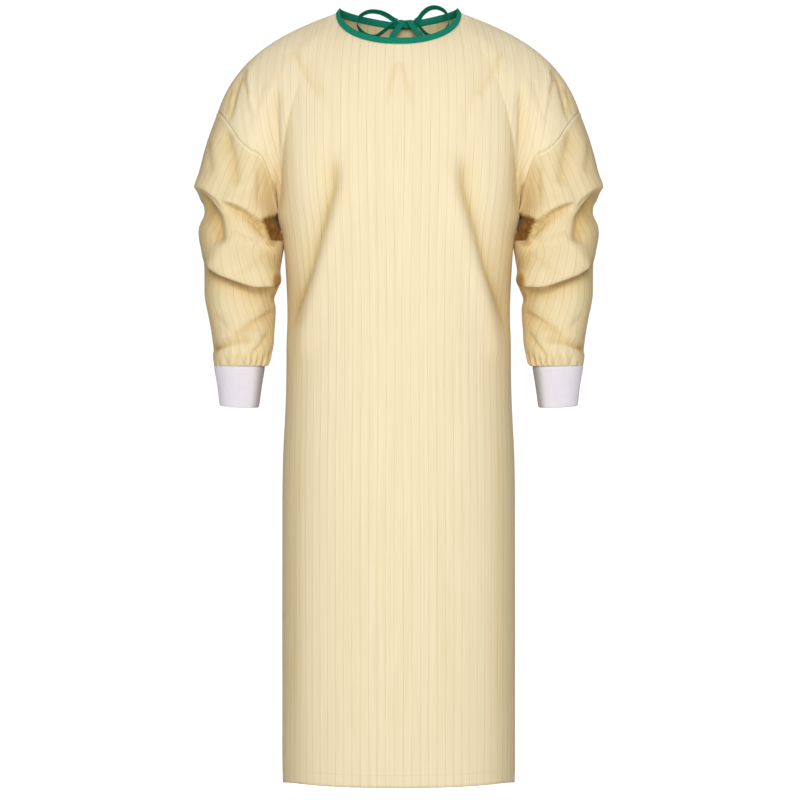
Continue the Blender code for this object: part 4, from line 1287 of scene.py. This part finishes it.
def tape_rings(route, across, width=TAPE_WIDTH, thick=TAPE_THICK):
    """Rings of a flat folded tape along a route, its width turned as given at each station."""
    along = unit(np.gradient(route, axis=0))
    wide = unit(across - along * np.sum(across * along, axis=1)[:, None])
    deep = np.cross(along, wide)
    section = np.array(TAPE_SECTION)
    side = wide[:, None, :] * section[None, :, :1] * width / 2
    return route[:, None, :] + side + deep[:, None, :] * section[None, :, 1:] * thick / 2


def loop_across(share):
    """How a loop's width turns: upright at the knot, tipped forward further out."""
    twist = smooth_step(share, 0, LOOP_TWIST) * (1 - smooth_step(share, 1 - LOOP_TWIST, 1))
    return np.outer(1 - twist, LOOP_ACROSS_KNOT) + np.outer(twist, LOOP_ACROSS_FAR)


def tape_cord(node, route, across):
    """A tape that hangs free, swept along its route at the tape's own width."""
    obj = swept(node + "_tape", [tape_rings(route, across)], tape_green)
    sewn(obj, node)


for name, points in (("neck_loop_left", LOOP_LEFT), ("neck_loop_right", LOOP_RIGHT)):
    route = through(points, np.linspace(0, len(points) - 1, LOOP_STATIONS))
    tape_cord(name, route, loop_across(np.linspace(0, 1, LOOP_STATIONS)))
for name, points in (("neck_tail_left", TAIL_LEFT), ("neck_tail_right", TAIL_RIGHT)):
    route = through(points, np.linspace(0, len(points) - 1, TAIL_STATIONS))
    tape_cord(name, route, np.tile(TAIL_ACROSS, (TAIL_STATIONS, 1)))


def knot_strand(start_angle):
    """One turn of tape through the knot, rolled round the others, slack in the middle."""
    share = np.linspace(-1, 1, KNOT_STATIONS)
    angle = start_angle + KNOT_TWIST * share
    slim = 1 - KNOT_TAPER * share**2
    off_y = np.cos(angle) * (KNOT_SIZE[1] - STRAND_THICK) / 2 * slim
    off_z = np.sin(angle) * (KNOT_SIZE[2] - STRAND_THICK) / 2 * slim
    off_z += KNOT_SAG * (share**2 - 0.5)
    route = np.array(KNOT_CENTRE) + np.stack([share * KNOT_SIZE[0] / 2, off_y, off_z], axis=1)
    across = np.stack([np.zeros(KNOT_STATIONS), -np.sin(angle), np.cos(angle)], axis=1)
    return tape_rings(route, across, STRAND_WIDTH, STRAND_THICK)


turns = np.arange(KNOT_STRANDS) * 2 * math.pi / KNOT_STRANDS
knot = swept("neck_knot_tape", [knot_strand(KNOT_START + turn) for turn in turns], tape_green)
sewn(knot, "neck_knot")


# Waist ties
# Two more tapes, sewn flat to the back panels at the waist, hang down the hidden back.
WAIST_SHARE = 0.5
WAIST_FROM, WAIST_TO = 1, 7
WAIST_LIFT = 1.4
CAD_BODY_ROWS = 11

for name in ("waist_tie_left", "waist_tie_right"):
    piece = pieces[name.replace("waist_tie", "back")]
    index = piece.index.reshape(piece.grid.shape[:2])
    each = BODY_ROWS / CAD_BODY_ROWS
    rows = np.arange(round(YOKE_ROWS + WAIST_FROM * each), round(YOKE_ROWS + WAIST_TO * each) + 1)
    column = index[rows, int(BACK_COLUMNS * WAIST_SHARE)]
    out = cloth_ways["body"][column]
    route = cloth_points[column] + out * WAIST_LIFT
    across = np.cross(np.gradient(route, axis=0), out)
    tape_cord(name, route, across)


# Stitching
# Yellow thread, three stitches to the centimetre, runs along the hem, the free edges of the backs and the
# felled armhole seams, and green thread along the binding.
STITCH_PITCH = 3.1
STITCH_LENGTH = 2.3
STITCH_RADIUS = 0.24
STITCH_LIFT = 0.1
STITCH_SIDES = 6
# A stitch's rings from end to end: how far along it, how thick, and how far over the cloth
Station = namedtuple("Station", "along size lift")
STITCH = [
    Station(0, 0.35, -0.25), Station(0.18, 0.85, 0.02), Station(0.5, 1.0, 0.12), Station(0.82, 0.85, 0.02),
    Station(1.0, 0.35, -0.25),
]
HEM_DEPTH = 20.0
HEM_LINE_POINTS = 400
BACK_EDGE_COLUMN = 1.6
BACK_LINE_POINTS = 900
ARMHOLE_STITCH_AT = 6.6
BINDING_STITCH_SHARE = 0.20
BINDING_STITCH_OUT = 0.5
THREAD_YELLOW = (0.80, 0.66, 0.36)


def thread(name, colour):
    """Twisted sewing thread."""
    mat, tree, shader = node_shader(name, 0.6)
    noise = tree.nodes.new("ShaderNodeTexNoise")
    noise.inputs["Scale"].default_value = 900
    dark = tuple(0.8 * c for c in colour)
    link(tree, mix_colour(tree, noise, dark, colour), shader.inputs["Base Color"])
    bump(tree, shader, noise, 0.0001, 0.4)
    return mat


def stitch_row(name, line, out, mat):
    """A row of short raised stitches along a line on the cloth."""
    run = run_of(line)
    stations, sizes, lifts = np.array(STITCH).T
    sizes = sizes[:, None, None] * STITCH_RADIUS
    turn = np.linspace(0, 2 * math.pi, STITCH_SIDES + 1)[:-1, None]
    tube = grid_faces(len(STITCH), STITCH_SIDES, closed=True)
    first_cap = np.arange(STITCH_SIDES)
    last_cap = first_cap[::-1] + STITCH_SIDES * (len(STITCH) - 1)
    points, faces = [], []
    for begin in np.arange(STITCH_PITCH, run[-1] - STITCH_PITCH, STITCH_PITCH):
        at = begin + stations * STITCH_LENGTH
        middle = np.stack([np.interp(at, run, line[:, k]) for k in range(3)], axis=1)
        normal = unit(np.stack([np.interp(at, run, out[:, k]) for k in range(3)], axis=1))
        side = unit(np.cross(unit(np.gradient(middle, axis=0)), normal))
        middle = middle + normal * (STITCH_LIFT + lifts)[:, None]
        base = len(points) * len(STITCH) * STITCH_SIDES
        ring = side[:, None] * (np.cos(turn) * sizes) + normal[:, None] * (np.sin(turn) * sizes)
        points.append(middle[:, None] + ring)
        faces += [*(tube + base).tolist(), (first_cap + base).tolist(), (last_cap + base).tolist()]
    obj = mesh_object(name, np.array(points).reshape(-1, 3), faces, mat)
    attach(obj, "root")


def surface_line(piece, rows, columns):
    """Points and outward ways of the folded cloth along fractional rows and columns of a piece."""
    index = piece.index.reshape(piece.grid.shape[:2])
    rows, columns = np.broadcast_arrays(np.asarray(rows, float), np.asarray(columns, float))
    r = np.minimum(rows.astype(int), index.shape[0] - 2)
    c = np.minimum(columns.astype(int), index.shape[1] - 2)
    fr, fc = (rows - r)[:, None], (columns - c)[:, None]
    found = []
    for values in (cloth_points, cloth_ways[piece.group]):
        top = values[index[r, c]] * (1 - fc) + values[index[r, c + 1]] * fc
        low = values[index[r + 1, c]] * (1 - fc) + values[index[r + 1, c + 1]] * fc
        found.append(top * (1 - fr) + low * fr)
    return found[0], unit(found[1])


yellow_thread = thread("yellow_thread", THREAD_YELLOW)
green_thread = thread("green_thread", TAPE_GREEN)
row_height = (ARMPIT_Z - HEM_Z) / BODY_ROWS
hem_row = YOKE_ROWS + BODY_ROWS - HEM_DEPTH / row_height
spans = {
    "front": (middle_column - SIDE_COLUMNS, middle_column + SIDE_COLUMNS),
    "back_left": (0, BACK_COLUMNS), "back_right": (0, BACK_COLUMNS),
}
for name, (low, high) in spans.items():
    line, out = surface_line(pieces[name], hem_row, np.linspace(low, high, HEM_LINE_POINTS))
    stitch_row(name + "_hem_stitches", line, out, yellow_thread)
for name in ("back_left", "back_right"):
    rows = np.linspace(2, YOKE_ROWS + BODY_ROWS - 1, BACK_LINE_POINTS)
    line, out = surface_line(pieces[name], rows, BACK_EDGE_COLUMN)
    stitch_row(name + "_edge_stitches", line, out, yellow_thread)
for name in ("sleeve_left", "sleeve_right"):
    run = run_down(pieces[name].grid)
    around = np.arange(run.shape[1] - 1)
    rows = np.array([np.interp(ARMHOLE_STITCH_AT, run[:, c], np.arange(len(run))) for c in around])
    line, out = surface_line(pieces[name], rows, around)
    stitch_row(name + "_armhole_stitches", line, out, yellow_thread)
line = neck_points + neck_rise * (BINDING_STITCH_SHARE * BINDING_WIDTH) + neck_out * BINDING_STITCH_OUT
stitch_row("binding_lower_stitches", line, neck_out, green_thread)
